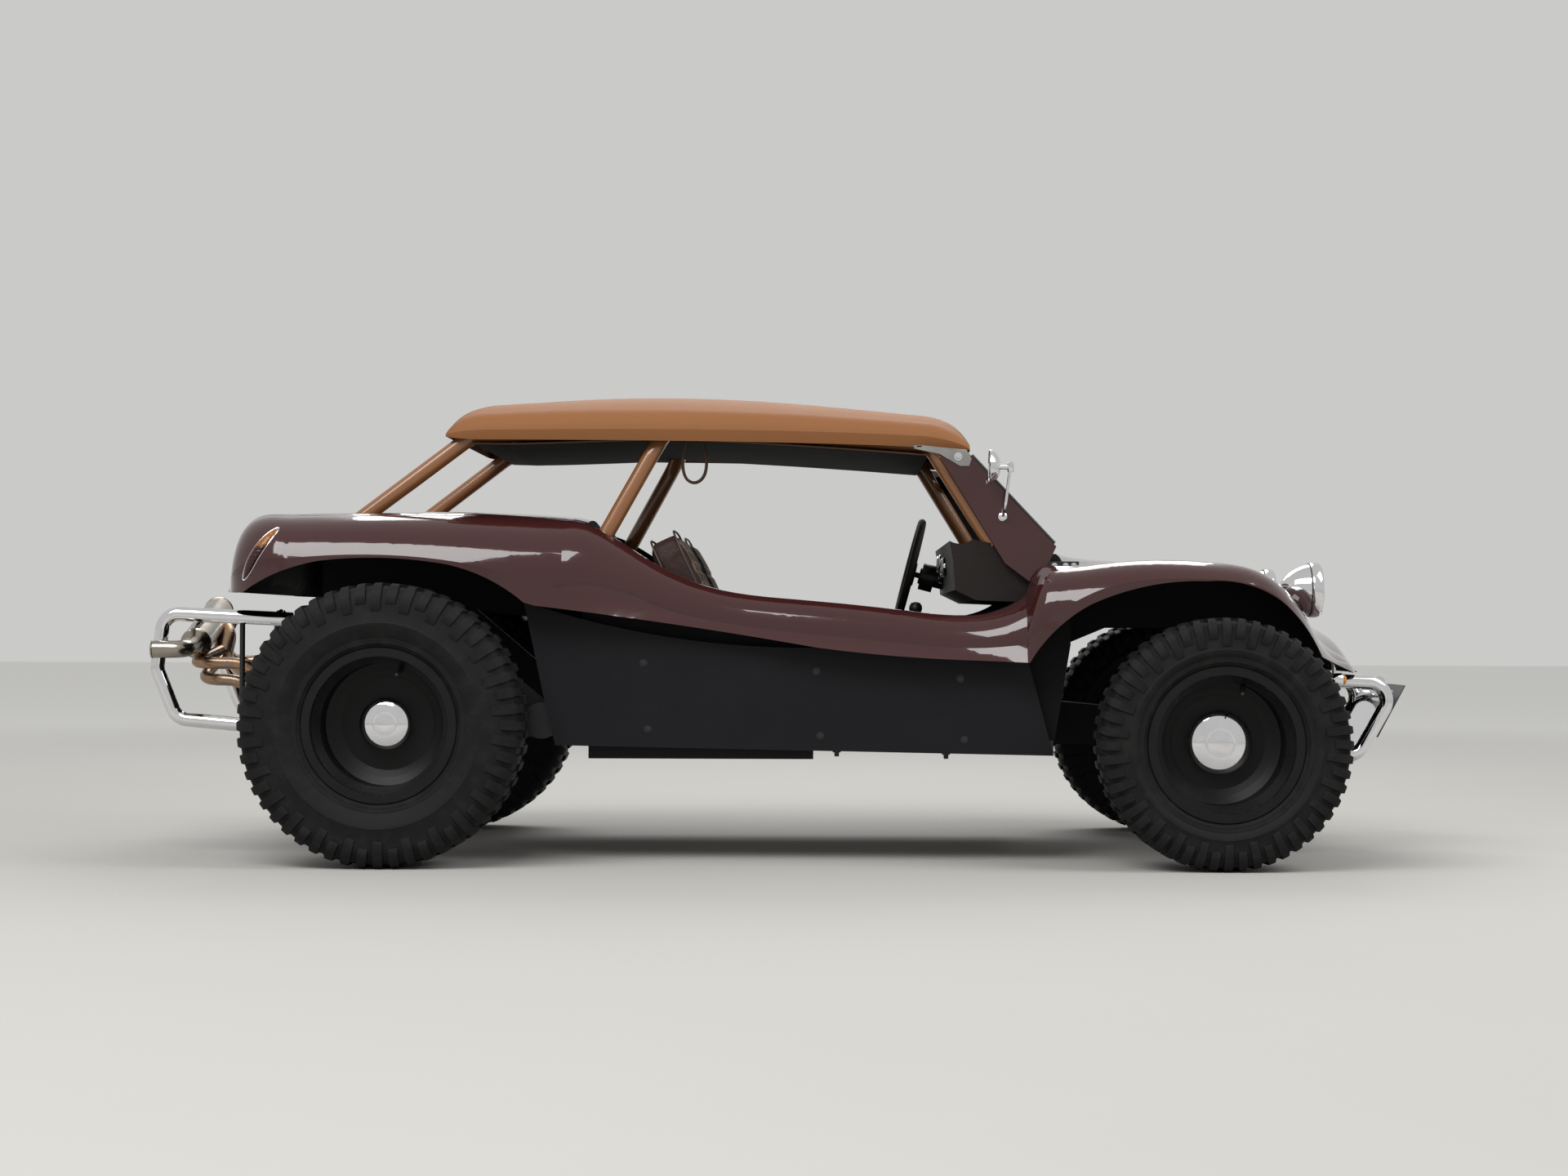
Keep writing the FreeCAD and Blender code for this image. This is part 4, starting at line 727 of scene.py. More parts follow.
lamps = {"x": frontAxleX + 0.318, "y": 0.420, "z": 0.804, "radius": 79,
         # share of the radius and distance ahead of the rim's back edge, from the tail of the bowl forward
         "bowl": [(0.005, -98.5), (0.12, -97.5), (0.26, -94), (0.42, -87), (0.57, -77), (0.70, -64.5), (0.81, -50),
                  (0.90, -34), (0.96, -18), (1.0, 0), (1.0, 14), (0.90, 22), (0.90, 16)]}


def buildLampRims():
    r = lamps["radius"]
    shell = [(r * share / 1000, back / 1000) for share, back in lamps["bowl"]]
    rim = mm(r + 0.2, -9, r + 2.2, -8, r + 3, -3, r + 2.6, 12, r - 1, 21.5, r - 5, 24.5, r - 8.5, 22.5, r - 9, 19)
    seam = mm(r - 1, -12.5, r + 1.2, -11.8, r + 1.2, -10, r - 1, -9.3)
    reflector = mm(0.4, 16.5, 20, 16.6, 45, 16.8, 64, 17.2, 70.4, 17.8)
    for side, tag in sides:
        centre = (lamps["x"], side * lamps["y"], lamps["z"])
        bowl = addTurned("lampBowl" + tag, shell, centre, forward, "chrome", steps=64)
        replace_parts(bowl, "headlamp_shells")
        addTurned("lampRim" + tag, rim, centre, forward, "chrome", steps=64)
        addTurned("lampSeam" + tag, seam, centre, forward, "blackTrim", steps=64)
        addTurned("lampReflector" + tag, reflector, centre, forward, "chrome", steps=48)


buildLampRims()
print("lamps finished")


# seats

seats = {
    "offset": 0.325, "width": 0.425,
    # centre along the car and height, length and thickness, lean of the length from the vertical
    "back": {"x": -0.262, "z": 0.735, "length": 0.520, "thick": 0.112, "lean": 0.437, "voxel": 0.0065},
    "base": {"x": 0.086, "z": 0.478, "length": 0.470, "thick": 0.100, "lean": -1.50, "voxel": 0.0065},
    # swelling: pressure, stiffness, frames, the furthest that a point moves, and the room left for it
    "pressure": 4.0, "stiffness": 25, "frames": 20, "travel": 0.012, "room": 0.012,
    # squareness of the outline, the cloth panel, the sewn lines and their depth and the piping
    "square": 6, "panel": (0.74, 0.84), "seamAt": (0.75, 0.85), "channels": (-0.42, 0.0, 0.42), "seamDepth": 0.006,
    "piping": 0.0032, "pipingLevel": 0.33, "pipingSteps": 28, "pipingReach": 0.962,
}


def squareness(u, w):
    power = seats["square"]
    return (abs(u) ** power + abs(w) ** power) ** (1 / power)


def cushionBlank(width, length, thick):
    # rounded slab whose edges pull in a little between the corners
    work = bmesh.new()
    bmesh.ops.create_cube(work, size=1.0)
    bmesh.ops.subdivide_edges(work, edges=work.edges, cuts=9, use_grid_fill=True)
    for v in work.verts:
        u, w, t = v.co.x * 2, v.co.y * 2, v.co.z * 2
        outside = squareness(u, w)
        pull = 1.0 - 0.03 * (1 - min(abs(u), abs(w)) ** 2) * max(abs(u), abs(w)) ** 4
        if outside > 1:
            u, w = u / outside, w / outside
        crown = 0.72 + 0.28 * (1 - min(1.0, (abs(u) ** 4 + abs(w) ** 4)))
        v.co = Vector((u * width / 2 * pull, w * length / 2 * pull, t * thick / 2 * crown))
    return work


def puff(thing, size):
    # cloth filled with air: the pad swells between its seams
    scene = bpy.context.scene
    remesh = thing.modifiers.new("remesh", "REMESH")
    remesh.mode = "VOXEL"
    remesh.voxel_size = size["voxel"]
    depsgraph = bpy.context.evaluated_depsgraph_get()
    fine = bpy.data.meshes.new_from_object(thing.evaluated_get(depsgraph))
    thing.modifiers.clear()
    thing.data = fine
    start = [v.co.copy() for v in fine.vertices]
    cloth = thing.modifiers.new("cloth", "CLOTH")
    cloth.settings.use_pressure = True
    cloth.settings.uniform_pressure_force = seats["pressure"]
    cloth.settings.quality = 4
    cloth.settings.tension_stiffness = seats["stiffness"]
    cloth.settings.compression_stiffness = seats["stiffness"]
    cloth.settings.effector_weights.gravity = 0.0
    cloth.point_cache.frame_start = 1
    cloth.point_cache.frame_end = seats["frames"]
    for step in range(1, seats["frames"] + 1):
        scene.frame_set(step)
    depsgraph = bpy.context.evaluated_depsgraph_get()
    swollen = bpy.data.meshes.new_from_object(thing.evaluated_get(depsgraph))
    thing.modifiers.clear()
    thing.data = swollen
    for v, before in zip(swollen.vertices, start):
        move = v.co - before
        if move.length > seats["travel"]:
            v.co = before + move.normalized() * seats["travel"]
    scene.frame_set(1)


def buildCushion(name, kind, side):
    size = seats[kind]
    work = cushionBlank(*(v - seats["room"] for v in (seats["width"], size["length"], size["thick"])))
    mesh = bpy.data.meshes.new(name)
    work.to_mesh(mesh)
    work.free()
    thing = bpy.data.objects.new(name, mesh)
    bpy.context.scene.collection.objects.link(thing)
    puff(thing, size)
    lean = size["lean"]
    long = Vector((-math.sin(lean), 0, math.cos(lean)))
    wide = Vector((0, 1, 0))
    face = wide.cross(long)
    tilt = Matrix((wide, long, face)).transposed()
    centre = Vector((size["x"], side * seats["offset"], size["z"]))
    data = thing.data
    half = (seats["width"] / 2, size["length"] / 2, size["thick"] / 2)
    (panelX, panelY), (seamX, seamY) = seats["panel"], seats["seamAt"]
    data.materials.clear()
    data.materials.append(paints["seatLeather"])
    data.materials.append(paints["plaid"])
    for poly in data.polygons:
        spot = sum((data.vertices[i].co for i in poly.vertices), Vector()) / len(poly.vertices)
        inner = abs(spot.x) < half[0] * panelX and abs(spot.y) < half[1] * panelY and spot.z > half[2] * 0.4
        poly.material_index = 1 if inner else 0
    for v in data.vertices:
        # two sewn channels across the panel, and the seam round it
        u, w = abs(v.co.x) / half[0], v.co.y / half[1]
        if v.co.z > 0:
            seam = math.exp(-((u - seamX) / 0.025) ** 2) if abs(w) < seamY else 0.0
            seam += math.exp(-((abs(w) - seamY) / 0.02) ** 2) if u < seamX else 0.0
            for channel in seats["channels"]:
                seam += math.exp(-((w - channel) / 0.018) ** 2) if u < panelX else 0.0
            v.co.z -= seats["seamDepth"] * min(seam, 1.0)
        v.co = centre + tilt @ v.co
    data.shade_smooth()
    smooth = thing.modifiers.new("smooth", "SUBSURF")
    smooth.levels = 1
    smooth.render_levels = 1
    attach(thing, "chassis")
    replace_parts(thing, "front_seats")
    # piping round the front and the rear edge
    for level, tag in ((seats["pipingLevel"], "Front"), (-seats["pipingLevel"], "Rear")):
        loop = []
        for i in range(seats["pipingSteps"]):
            turn = 2 * math.pi * i / seats["pipingSteps"]
            u, w = math.cos(turn), math.sin(turn)
            reach = seats["pipingReach"] / squareness(u, w)
            loop.append(centre + tilt @ Vector((half[0] * u * reach, half[1] * w * reach, size["thick"] * level)))
        addLine(name + "Piping" + tag, loop, seats["piping"], "piping", closed=True)


for side, tag in sides:
    for kind in ("back", "base"):
        buildCushion("seat%s%s" % (kind.title(), tag), kind, side)
print("seats sewn")


# hand strap

strap = {"y": -466, "width": 0.024, "thick": 0.0085,
         # stations from the rear axle and heights of the loop, starting over the tube
         "loop": [(872, 1306), (850, 1300), (842, 1278), (846, 1252), (841, 1215), (839, 1180), (842, 1150),
                  (853, 1128), (873, 1119), (893, 1127), (906, 1148), (910, 1180), (904, 1215), (897, 1252),
                  (903, 1278), (894, 1300)]}


def buildStrap():
    loop = [fromRear(x, strap["y"], z) for x, z in strap["loop"]]
    fine = []
    count = len(loop)
    for i in range(count):
        p0, p1, p2, p3 = (loop[(i + k) % count] for k in (-1, 0, 1, 2))
        for t in (0.0, 0.25, 0.5, 0.75):
            fine.append(0.5 * ((2 * p1) + (p2 - p0) * t + (2 * p0 - 5 * p1 + 4 * p2 - p3) * t * t
                               + (3 * p1 - p0 - 3 * p2 + p3) * t ** 3))
    middle = sum(fine, Vector()) / len(fine)
    points, faces = [], []
    n = len(fine)
    for i, p in enumerate(fine):
        way = (fine[(i + 1) % n] - fine[i - 1]).normalized()
        out = Vector((0, 1, 0)).cross(way).normalized()
        if out.dot(p - middle) < 0:
            out = -out
        for across, lift in ((-1, -1), (1, -1), (1, 0.6), (0.8, 1), (-0.8, 1), (-1, 0.6)):
            points.append(p + Vector((0, across * strap["width"] / 2, 0)) + out * lift * strap["thick"] / 2)
    for i in range(n):
        j = (i + 1) % n
        for k in range(6):
            m = (k + 1) % 6
            faces.append((i * 6 + k, j * 6 + k, j * 6 + m, i * 6 + m))
    addPiece("handStrap", points, faces, "strapLeather")


buildStrap()
print("strap hung")


# dials on the dashboard

dials = {"x": 0.496, "z": 0.880, "needleTurn": 0.7,
         # side of the car and radius in millimetres
         "rows": [(0.245, 44), (0.415, 44), (0.120, 27), (0.040, 27), (-0.040, 27)]}


def buildDials():
    for i, (y, r) in enumerate(dials["rows"]):
        centre = Vector((dials["x"], y, dials["z"]))
        rim = mm(r, -6, r + 2.5, -4, r + 2.5, 6, r, 8.5, r - 4.5, 7.5, r - 5, 4)
        addTurned("dialRim%d" % i, rim, centre, backward, "chrome", steps=40)
        addTurned("dialFace%d" % i, mm(r - 4, 3.5, r * 0.5, 3.6, 0.4, 3.6), centre, backward, "dialFace", steps=40)
        turn = dials["needleTurn"] + i
        root = centre - Vector((0.0052, 0, 0))
        tip = root + Vector((0, -math.sin(turn), math.cos(turn))) * r * 0.00075
        side = Vector((0, math.cos(turn), math.sin(turn))) * 0.0012
        addPiece("dialNeedle%d" % i, [root - side, root + side, tip + side * 0.3, tip - side * 0.3], [(0, 1, 2, 3)],
                 "paleSeam", smooth=False)


buildDials()
print("dials set")


# bolts: paint, which way the heads face, their radius and height, and their places in millimetres

bolts = {
    "panelBolts": ("blackSteel", "out", 0.0075, 0.006, [(735, 625, 583), (748, 625, 390), (1240, 625, 560),
                                                        (1252, 625, 372), (1660, 625, 540), (1672, 625, 362)]),
    "torsionBolts": ("bareSteel", "out", 0.0095, 0.012, [(445, 560, 436), (445, 560, 388)]),
    "panBolts": ("blackSteel", "down", 0.008, 0.016, [(1300, 585, 326.5), (1620, 585, 320.5)]),
    "roofBracketBolt": ("chrome", "out", 0.008, 0.007, [(1655, 569.5, 1192)]),
}

for side, tag in sides:
    for name, (paint, way, radius, height, places) in bolts.items():
        axis = (0, side, 0) if way == "out" else (0, 0, -1)
        addBolts(name + tag, [(spot, axis, radius, height) for spot in path(places, side)], paint)
print("bolts fitted")


# engine, in millimetres from the front face of the case and the crankshaft's axis

engine = {
    "frontX": rearAxleX - 0.1403, "axisZ": 0.416, "barrels": (-88, -212), "fins": 9, "vanes": 18,
    "barrelRadius": 47, "finRadius": 60, "crankRadius": 72, "crankUp": -10, "fanRadius": 68, "fanUp": 255,
    "beltX": -316, "vaneFrom": 0.036, "vaneTo": 0.086, "vaneLag": 0.22,
    # two opposite corners and the broken edge of each casting
    "castings": [(-300, -125, -125, 0, 125, 125, 16), (-260, -100, -165, -40, 100, -115, 10),
                 (-290, -36, 110, -205, 36, 212, 10), (-232, -118, 150, -168, -62, 205, 6)],
    "headTin": [(-24, 128, 98), (-24, 300, 74), (-276, 300, 74), (-276, 128, 98)],
    "bail": [(-195, 318, 52), (-190, 350, 30), (-150, 352, -26), (-110, 350, 30), (-105, 318, 52)],
    "shroud": [(-300, 76), (-292, 118), (-235, 150), (-182, 205), (-152, 262), (-118, 328), (-66, 370), (0, 385),
               (66, 370), (118, 328), (152, 262), (182, 205), (235, 150), (292, 118), (300, 76)],
    # turned profiles: radius and station
    "backPlate": mm(0.4, -22, 142, -22, 150, -16, 150, 0, 0.4, 0),
    "rockerCover": mm(0.4, 0, 40, 1, 46, 6, 48, 16, 48, 204, 46, 214, 40, 219, 0.4, 220),
    "fanRing": mm(86, -6, 86, 4, 96, 16, 110, 19, 118, 12, 120, -2, 116, -6),
    "fanHub": mm(0.4, -10, 40, -10, 36, 10, 0.4, 14),
    "generator": mm(0.4, 0, 30, 0, 46, 4, 52, 10, 52, 40, 49.5, 42, 49.5, 48, 52, 50, 52, 158, 46, 166, 0.4, 166),
    "airCleaner": mm(0.4, 0, 30, 0, 60, 6, 62, 10, 56, 13, 56, 48, 62, 51, 61, 56, 46, 62, 10, 63, 7, 72, 0.4, 73),
    "carbThroat": mm(0.4, 0, 26, 0, 22, 10, 24, 40, 0.4, 40),
    "fillerCap": mm(0.4, 0, 29, 0, 31, 4, 31, 18, 26, 23, 0.4, 25),
    "distributor": mm(0.4, 0, 26, 0, 26, 60, 36, 62, 36, 76, 28, 98, 10, 106, 0.4, 106),
}


def barrelProfile():
    # cooling fins along one barrel, from the case to the head
    core, fin = engine["barrelRadius"], engine["finRadius"]
    rows = [0.4, 118, core, 118]
    for i in range(engine["fins"]):
        y = 130 + i * 104 / engine["fins"]
        rows += [core, y, fin, y + 1, fin, y + 3.5, core, y + 4.8]
    return mm(*rows, core, 240, 0.4, 240)


def pulleyProfile(radius, hub):
    # sheave with its groove, dished towards the hub
    return mm(0.4, -14, hub, -14, hub, -6, radius * 0.8, -4, radius, -10, radius, -7, radius - 9, -2,
              radius - 9, 2, radius, 7, radius, 10, radius * 0.8, 4, hub, 5, hub, 13, 0.4, 13)


def buildEngine():
    def at(x, y, z):
        return Vector((engine["frontX"] + x / 1000, y / 1000, engine["axisZ"] + z / 1000))

    def cast(x0, y0, z0, x1, y1, z1, edge=1):
        return block(at(x0, y0, z0), at(x1, y1, z1), edge / 1000)

    def turned(key, place, axis=forward, steps=32):
        return lathe(engine[key], at(*place), axis, steps)

    fanUp, crankUp, beltX = engine["fanUp"], engine["crankUp"], engine["beltX"]
    case = [cast(*row) for row in engine["castings"]] + [turned("backPlate", (0, 0, 0), forward, 48)]
    case += [cast(-250, y - 2, -172, -50, y + 2, -150) for y in range(-84, 85, 21)]  # ribs under the sump
    bright = [lathe(pulleyProfile(engine["crankRadius"], 24), at(beltX, 0, crankUp), backward, 48),
              lathe(pulleyProfile(engine["fanRadius"], 20), at(beltX, 0, fanUp), backward, 48)]
    tin = []
    for side, tag in sides:
        case += [lathe(barrelProfile(), at(x, 0, 0), (0, side, 0)) for x in engine["barrels"]]
        y0, y1 = sorted((side * 236, side * 298))
        case.append(cast(-272, y0, -50, -28, y1, 55, 8))
        for i in range(5):
            # fins on the top and the bottom of the head
            y = side * (243 + i * 11)
            case.append(cast(-268, y - 1.6, -64, -32, y + 1.6, 68))
        bright.append(turned("rockerCover", (-260, side * 299, 2)))
        addLine("coverBail" + tag, [at(x, side * y, z) for x, y, z in engine["bail"]], 0.0028, "bareSteel")
        # intake pipe from the middle down into the head
        case.append(tube([at(-185, side * 266, 60), at(-185, side * 266, 148), at(-185, 0, 150)], 0.017, 0.05))
        tin.append(slab([at(x, side * y, z) for x, y, z in engine["headTin"]], (0, 0, 0.002)))
    tin += [slab([at(-150, y, z) for y, z in engine["shroud"]], (0.125, 0, 0), 0.008),
            turned("fanRing", (-24, 0, fanUp), forward, 48), turned("fanHub", (-24, 0, fanUp))]
    fan, back = at(-24, 0, fanUp), Vector((-0.012, 0, 0))
    for i in range(engine["vanes"]):
        turn = 2 * math.pi * i / engine["vanes"]
        ray, lag = (Vector((0, math.cos(a), math.sin(a))) for a in (turn, turn + engine["vaneLag"]))
        near, far = fan + ray * engine["vaneFrom"], fan + lag * engine["vaneTo"]
        tin.append(slab([near, far, far + back, near + back], lag.cross((1, 0, 0)) * 0.002, 0.0004))
    tin += [turned("generator", (-306, 0, fanUp)), turned("distributor", (-232, 52, 112), upward, 24)]
    bright += [turned("airCleaner", (-200, -90, 235), upward, 40),
               turned("fillerCap", (-270, 121, 203), (0, 0.27, 0.95), 24)]
    case += [turned("carbThroat", (-200, -90, 200), upward, 24), tube([at(-270, 95, 110), at(-270, 122, 205)], 0.024)]
    for name, parts, paint in (("engineCase", case, "castAlloy"), ("engineTin", tin, "blackPanel"),
                               ("engineBright", bright, "chrome")):
        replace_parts(addForm(name, parts, paint), "engine")
    loop = []
    for up, radius, start in ((fanUp, engine["fanRadius"], 0.0), (crankUp, engine["crankRadius"], math.pi)):
        for i in range(9):
            a = start + math.pi * i / 8
            loop.append(at(beltX, radius * math.cos(a), up + radius * math.sin(a)))
    addLine("fanBelt", loop, 0.0048, "sealRubber", closed=True)
    for side, tag in sides:
        for i, x in enumerate(engine["barrels"]):
            lead = [(x, side * 270, 62), (x, side * 274, 102), (x - 20, side * 240, 182), (-215, side * 110, 235),
                    (-232, 52 + side * 15, 235), (-232, 52 + side * 12, 205)]
            addLine("plugLead%s%d" % (tag, i), [at(*p) for p in lead], 0.0038, "sealRubber")


buildEngine()
print("engine built")


# exhaust

exhaust = {
    "header": 0.018, "merge": 0.033, "can": 45, "outlet": 26,
    # millimetres from the rear axle, the middle and the ground
    "near": (-655, -300, 635), "far": (-710, 250, 738), "tip": (-738, -500, 618), "bendX": -643,
    # the upper and the lower header of one side
    "headers": [[(-400, 270, 451), (-480, 300, 575), (-668, 300, 575), (-640, 40, 611)],
                [(-400, 255, 398), (-500, 290, 524), (-640, 290, 524), (-636, 40, 590)]],
    "collector": [(-638, -30, 592), (-640, 62, 668), (-704, 104, 714)],
}


def buildExhaust():
    pipes = [tube(path(exhaust["collector"]), exhaust["merge"], 0.05, 20)]
    for side, tag in sides:
        pipes += [tube(path(row, side), exhaust["header"], 0.07, 18) for row in exhaust["headers"]]
    addForm("exhaustPipes", pipes, "heatedSteel")
    near, far, tip = path([exhaust[k] for k in ("near", "far", "tip")])
    along = (far - near).normalized()
    length = (far - near).length
    r, bore = exhaust["can"], exhaust["outlet"]
    end = mm(0.4, 30, 24, 30, 27, 26, 40, 6, r, 1, r + 2, 0, r + 2, -6, r, -7)
    profile = [(radius, -out) for radius, out in end] + [(radius, length + out) for radius, out in end[::-1]]
    mouth = tip + Vector((0.004, 0, 0))
    bend = Vector((rearAxleX + exhaust["bendX"] / 1000, tip.y, tip.z))
    can = [lathe(profile, near, along, 48), tube([near + along * 0.01, bend, mouth], bore / 1000, 0.05, 28),
           lathe(mm(bore, 0, bore + 1.5, 2, bore + 0.5, 6, bore - 2, 5.5, bore - 3, -1), mouth, backward, 28)]
    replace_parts(addForm("mufflerCan", can, "stainless"), "muffler")
    # black disc just inside the mouth: painted shade for the hollow of the pipe
    addTurned("outletBore", mm(22.6, 0, 10, 0.4, 0.4, 0.5), tip + Vector((0.0035, 0, 0)), backward, "sealRubber",
              steps=28)


buildExhaust()
print("exhaust built")


# rods, pads and plates that carry the bumpers, the roof and the shock absorbers

braces = {
    "roofPads": (300, 700, 1100, 1400), "padY": (470, 476), "padRadius": 0.011, "hangerY": 243, "bracketY": 569.5,
    # radius, bend and corners of each rod at the rear bumper
    "rods": [(0.011, 0.04, [(-322, 446, 706), (-250, 230, 530)]),
             (0.015, 0.03, [(-476, 450, 392), (-400, 446, 393), (-330, 280, 410)]),
             (0.008, 0.04, [(-480, 450, 388), (-480, 450, 718)])],
    # front hanger plate: stations, half width and heights; the tubes ahead of it: radius, stations and heights
    "hanger": (2625, 2633, 28, 249.5, 582), "hangerRadius": 0.021,
    "hangerTubes": [[(2629, 534), (2735, 534)], [(2629, 268), (2665, 262)]],
    # stations and heights: roof bracket, rail under a side panel, plate that carries a rear shock absorber
    "bracket": [(1523, 1216), (1539, 1226), (1679, 1212), (1695, 1185), (1688, 1164), (1662, 1164), (1599, 1200)],
    "rail": [(477, 342), (1932, 316), (1932, 360), (477, 386)],
    "post": [(466, 394), (460, 446), (92, 758), (42, 762), (38, 714), (394, 394)],
}


def roofPad(x, side, roof, cage):
    # rubber pad between a cage tube and the roof over it, where both are there
    for y in braces["padY"]:
        start = fromRear(x, side * y, 1200)
        tops = [c.ray_cast(start + Vector((0, 0, 0.3)), Vector((0, 0, -1)), 0.3)[0] for c in cage]
        tops = [t.z for t in tops if t is not None]
        under = roof.ray_cast(start, Vector(upward), 0.4)[0]
        if tops and under is not None and under.z > max(tops) + 0.001:
            return [tube([(start.x, start.y, max(tops) - 0.004), (start.x, start.y, under.z + 0.001)],
                         braces["padRadius"], steps=16)]
    return []


def buildBraces():
    roof, cage = surfaceOf("roof_shell"), [surfaceOf(n) for n in ("rear_stays", "screen_stays")]
    rods, plates, pads, brackets = [], [], [], []
    for side, tag in sides:
        rods += [tube(path(row, side), radius, bend) for radius, bend, row in braces["rods"]]
        # hanger plate that ties the front bumper's tubes to the beam
        y = side * braces["hangerY"]
        x0, x1, half, z0, z1 = braces["hanger"]
        plates.append(block(fromRear(x0, y - half, z0), fromRear(x1, y + half, z1), 0.002))
        plates += [tube([fromRear(x, y, z) for x, z in row], braces["hangerRadius"]) for row in braces["hangerTubes"]]
        plates += [plate(braces["rail"], side * 600, side * 18, 2), plate(braces["post"], side * 470 - 5, 10, 2)]
        inner, outer = sorted((side * 533, side * braces["bracketY"]))
        brackets += [plate(braces["bracket"], side * (braces["bracketY"] - 3), side * 3),
                     block(fromRear(1523, inner, 1219), fromRear(1549, outer, 1225), 0.001)]
        for x in braces["roofPads"]:
            pads += roofPad(x, side, roof, cage)
    for name, parts, paint in (("bumperRods", rods, "blackSteel"), ("bracketPlates", plates, "blackSteel"),
                               ("roofBrackets", brackets, "bareSteel"), ("roofPads", pads, "sealRubber")):
        if parts:
            addForm(name, parts, paint)


buildBraces()
print("braces fitted")


# black liner below the tubes under the roof, with a pale seam along each edge

liner = {"halfWidth": 0.505, "thick": 0.005, "sag": 0.010, "crown": 0.002, "steps": 24,
         # stations from the rear axle and heights of the tubes' lower edge
         "line": mm(215, 1241.5, 300, 1238, 500, 1244, 760, 1254, 820, 1255, 1100, 1241, 1400, 1221.5, 1570, 1208)}


def buildLiner():
    points, steps, half = [], liner["steps"], liner["halfWidth"]
    for px, pz in liner["line"]:
        upper, lower = [], []
        for i in range(steps + 1):
            u = -1 + 2.0 * i / steps
            rise = liner["crown"] * (1 - u * u) - liner["sag"]
            upper.append((rearAxleX + px, u * half, pz + rise + liner["thick"]))
            lower.append((rearAxleX + px, u * half, pz + rise))
        points += upper + lower[::-1]
    count = (steps + 1) * 2
    addPiece("roofLiner", points, ladder(len(liner["line"]), count), "linerCloth")
    for side, tag in sides:
        edge = [(rearAxleX + px, side * half, pz - liner["sag"] + liner["thick"] / 2) for px, pz in liner["line"]]
        addLine("linerSeam" + tag, edge, 0.0034, "cageSeam")


buildLiner()
print("liner hung")


# mirrors, in millimetres from the rear axle, the middle and the ground

mirrors = {"foot": (1786, 566, 1015), "elbow": (1790, 612, 1037), "top": (1806, 620, 1167), "radius": 50}


def buildMirrors():
    r = mirrors["radius"]
    for side, tag in sides:
        foot, elbow, top = path([mirrors[k] for k in ("foot", "elbow", "top")], side)
        face = top - Vector((0.062, 0, 0.008))
        dish = mm(r - 3, 1.5, r - 1, -1, r + 1, 0, r + 1.5, 3, r, 6, r - 4, 13, r - 11, 21, r - 22, 28, r - 36, 32,
                  0.4, 33)
        parts = [tube([foot, elbow, top], 0.0045, 0.02, 16),
                 lathe(mm(0.4, 0, 13, 0, 13, 5, 9, 8, 0.4, 9), foot, (0, side, 0), 24),
                 lathe(mm(0.4, -24, 8, -24, 10, -20, 10, 2, 7, 6, 0.4, 7), top, upward, 24),
                 tube([top - Vector((0.036, 0, 0.010)), top - Vector((0, 0, 0.010))], 0.006),
                 lathe(dish, face, forward, 48)]
        addForm("mirror" + tag, parts, "chrome")
        addTurned("mirrorFace" + tag, mm(r - 2, 0.8, r * 0.6, 0.4, 0.4, 0.2), face, forward, "mirrorGlass", steps=48)


buildMirrors()
print("mirrors hung")


# seat runners, levers and pedals, in millimetres from the rear axle, the middle and the ground

cabin = {"seatY": 325, "runnerY": (-150, 120), "runner": [(1000, 343), (1440, 335), (1440, 430), (1000, 410)],
         "gear": [(1505, 0, 466), (1510, 0, 586), (1549, 0, 736)], "knob": (1549, 0, 750),
         "brakeBase": [(1330, -12, 462), (1370, 12, 510)], "brake": [(1345, 0, 492), (1180, 0, 544)],
         "grip": [(1285, 0, 511), (1185, 0, 542.5)],
         "gearBoot": mm(0.4, -4, 36, -4, 34, 4, 26, 10, 28, 15, 20, 22, 22, 27, 13, 36, 10, 42, 0.4, 43),
         "gearKnob": mm(0.4, -22, 10, -21, 17, -14, 21, -2, 20, 8, 14, 17, 0.4, 21),
         # side of the car and width of each pedal, with the foot and the head of its arm
         "pedals": [(215, 60), (320, 60), (420, 44)], "pedalFoot": (1862, 331), "pedalHead": (1832, 462)}


def across(middle, tilt, half, low, high):
    # four corners of a strip across the car, on a tilted face
    return [middle + tilt * v + Vector((0, u * half, 0)) for u, v in ((-1, low), (1, low), (1, high), (-1, high))]


def buildPedals():
    tilt, face = Vector((-0.34, 0, 0.94)), Vector((-0.94, 0, -0.34))
    arms, pads = [], []
    (footX, footZ), (headX, headZ) = cabin["pedalFoot"], cabin["pedalHead"]
    for y, width in cabin["pedals"]:
        low, high = path([(footX, y, footZ), (headX, y, headZ)])
        arms += [tube([low, high], 0.007),
                 block(fromRear(footX - 23, y - 17, footZ), fromRear(footX + 23, y + 17, footZ + 9), 0.002)]
        pads.append(slab(across(high + face * 0.004, tilt, width / 2000, -0.036, 0.040), face * 0.008, 0.0015))
        for i in range(5):
            # ribs across the pad
            middle = high + tilt * (-0.026 + i * 0.014) + face * 0.012
            pads.append(slab(across(middle, tilt, width * 0.00042, -0.003, 0.003), face * 0.0025, 0.0006))
    addForm("pedalArms", arms, "blackSteel")
    addForm("pedalPads", pads, "sealRubber")


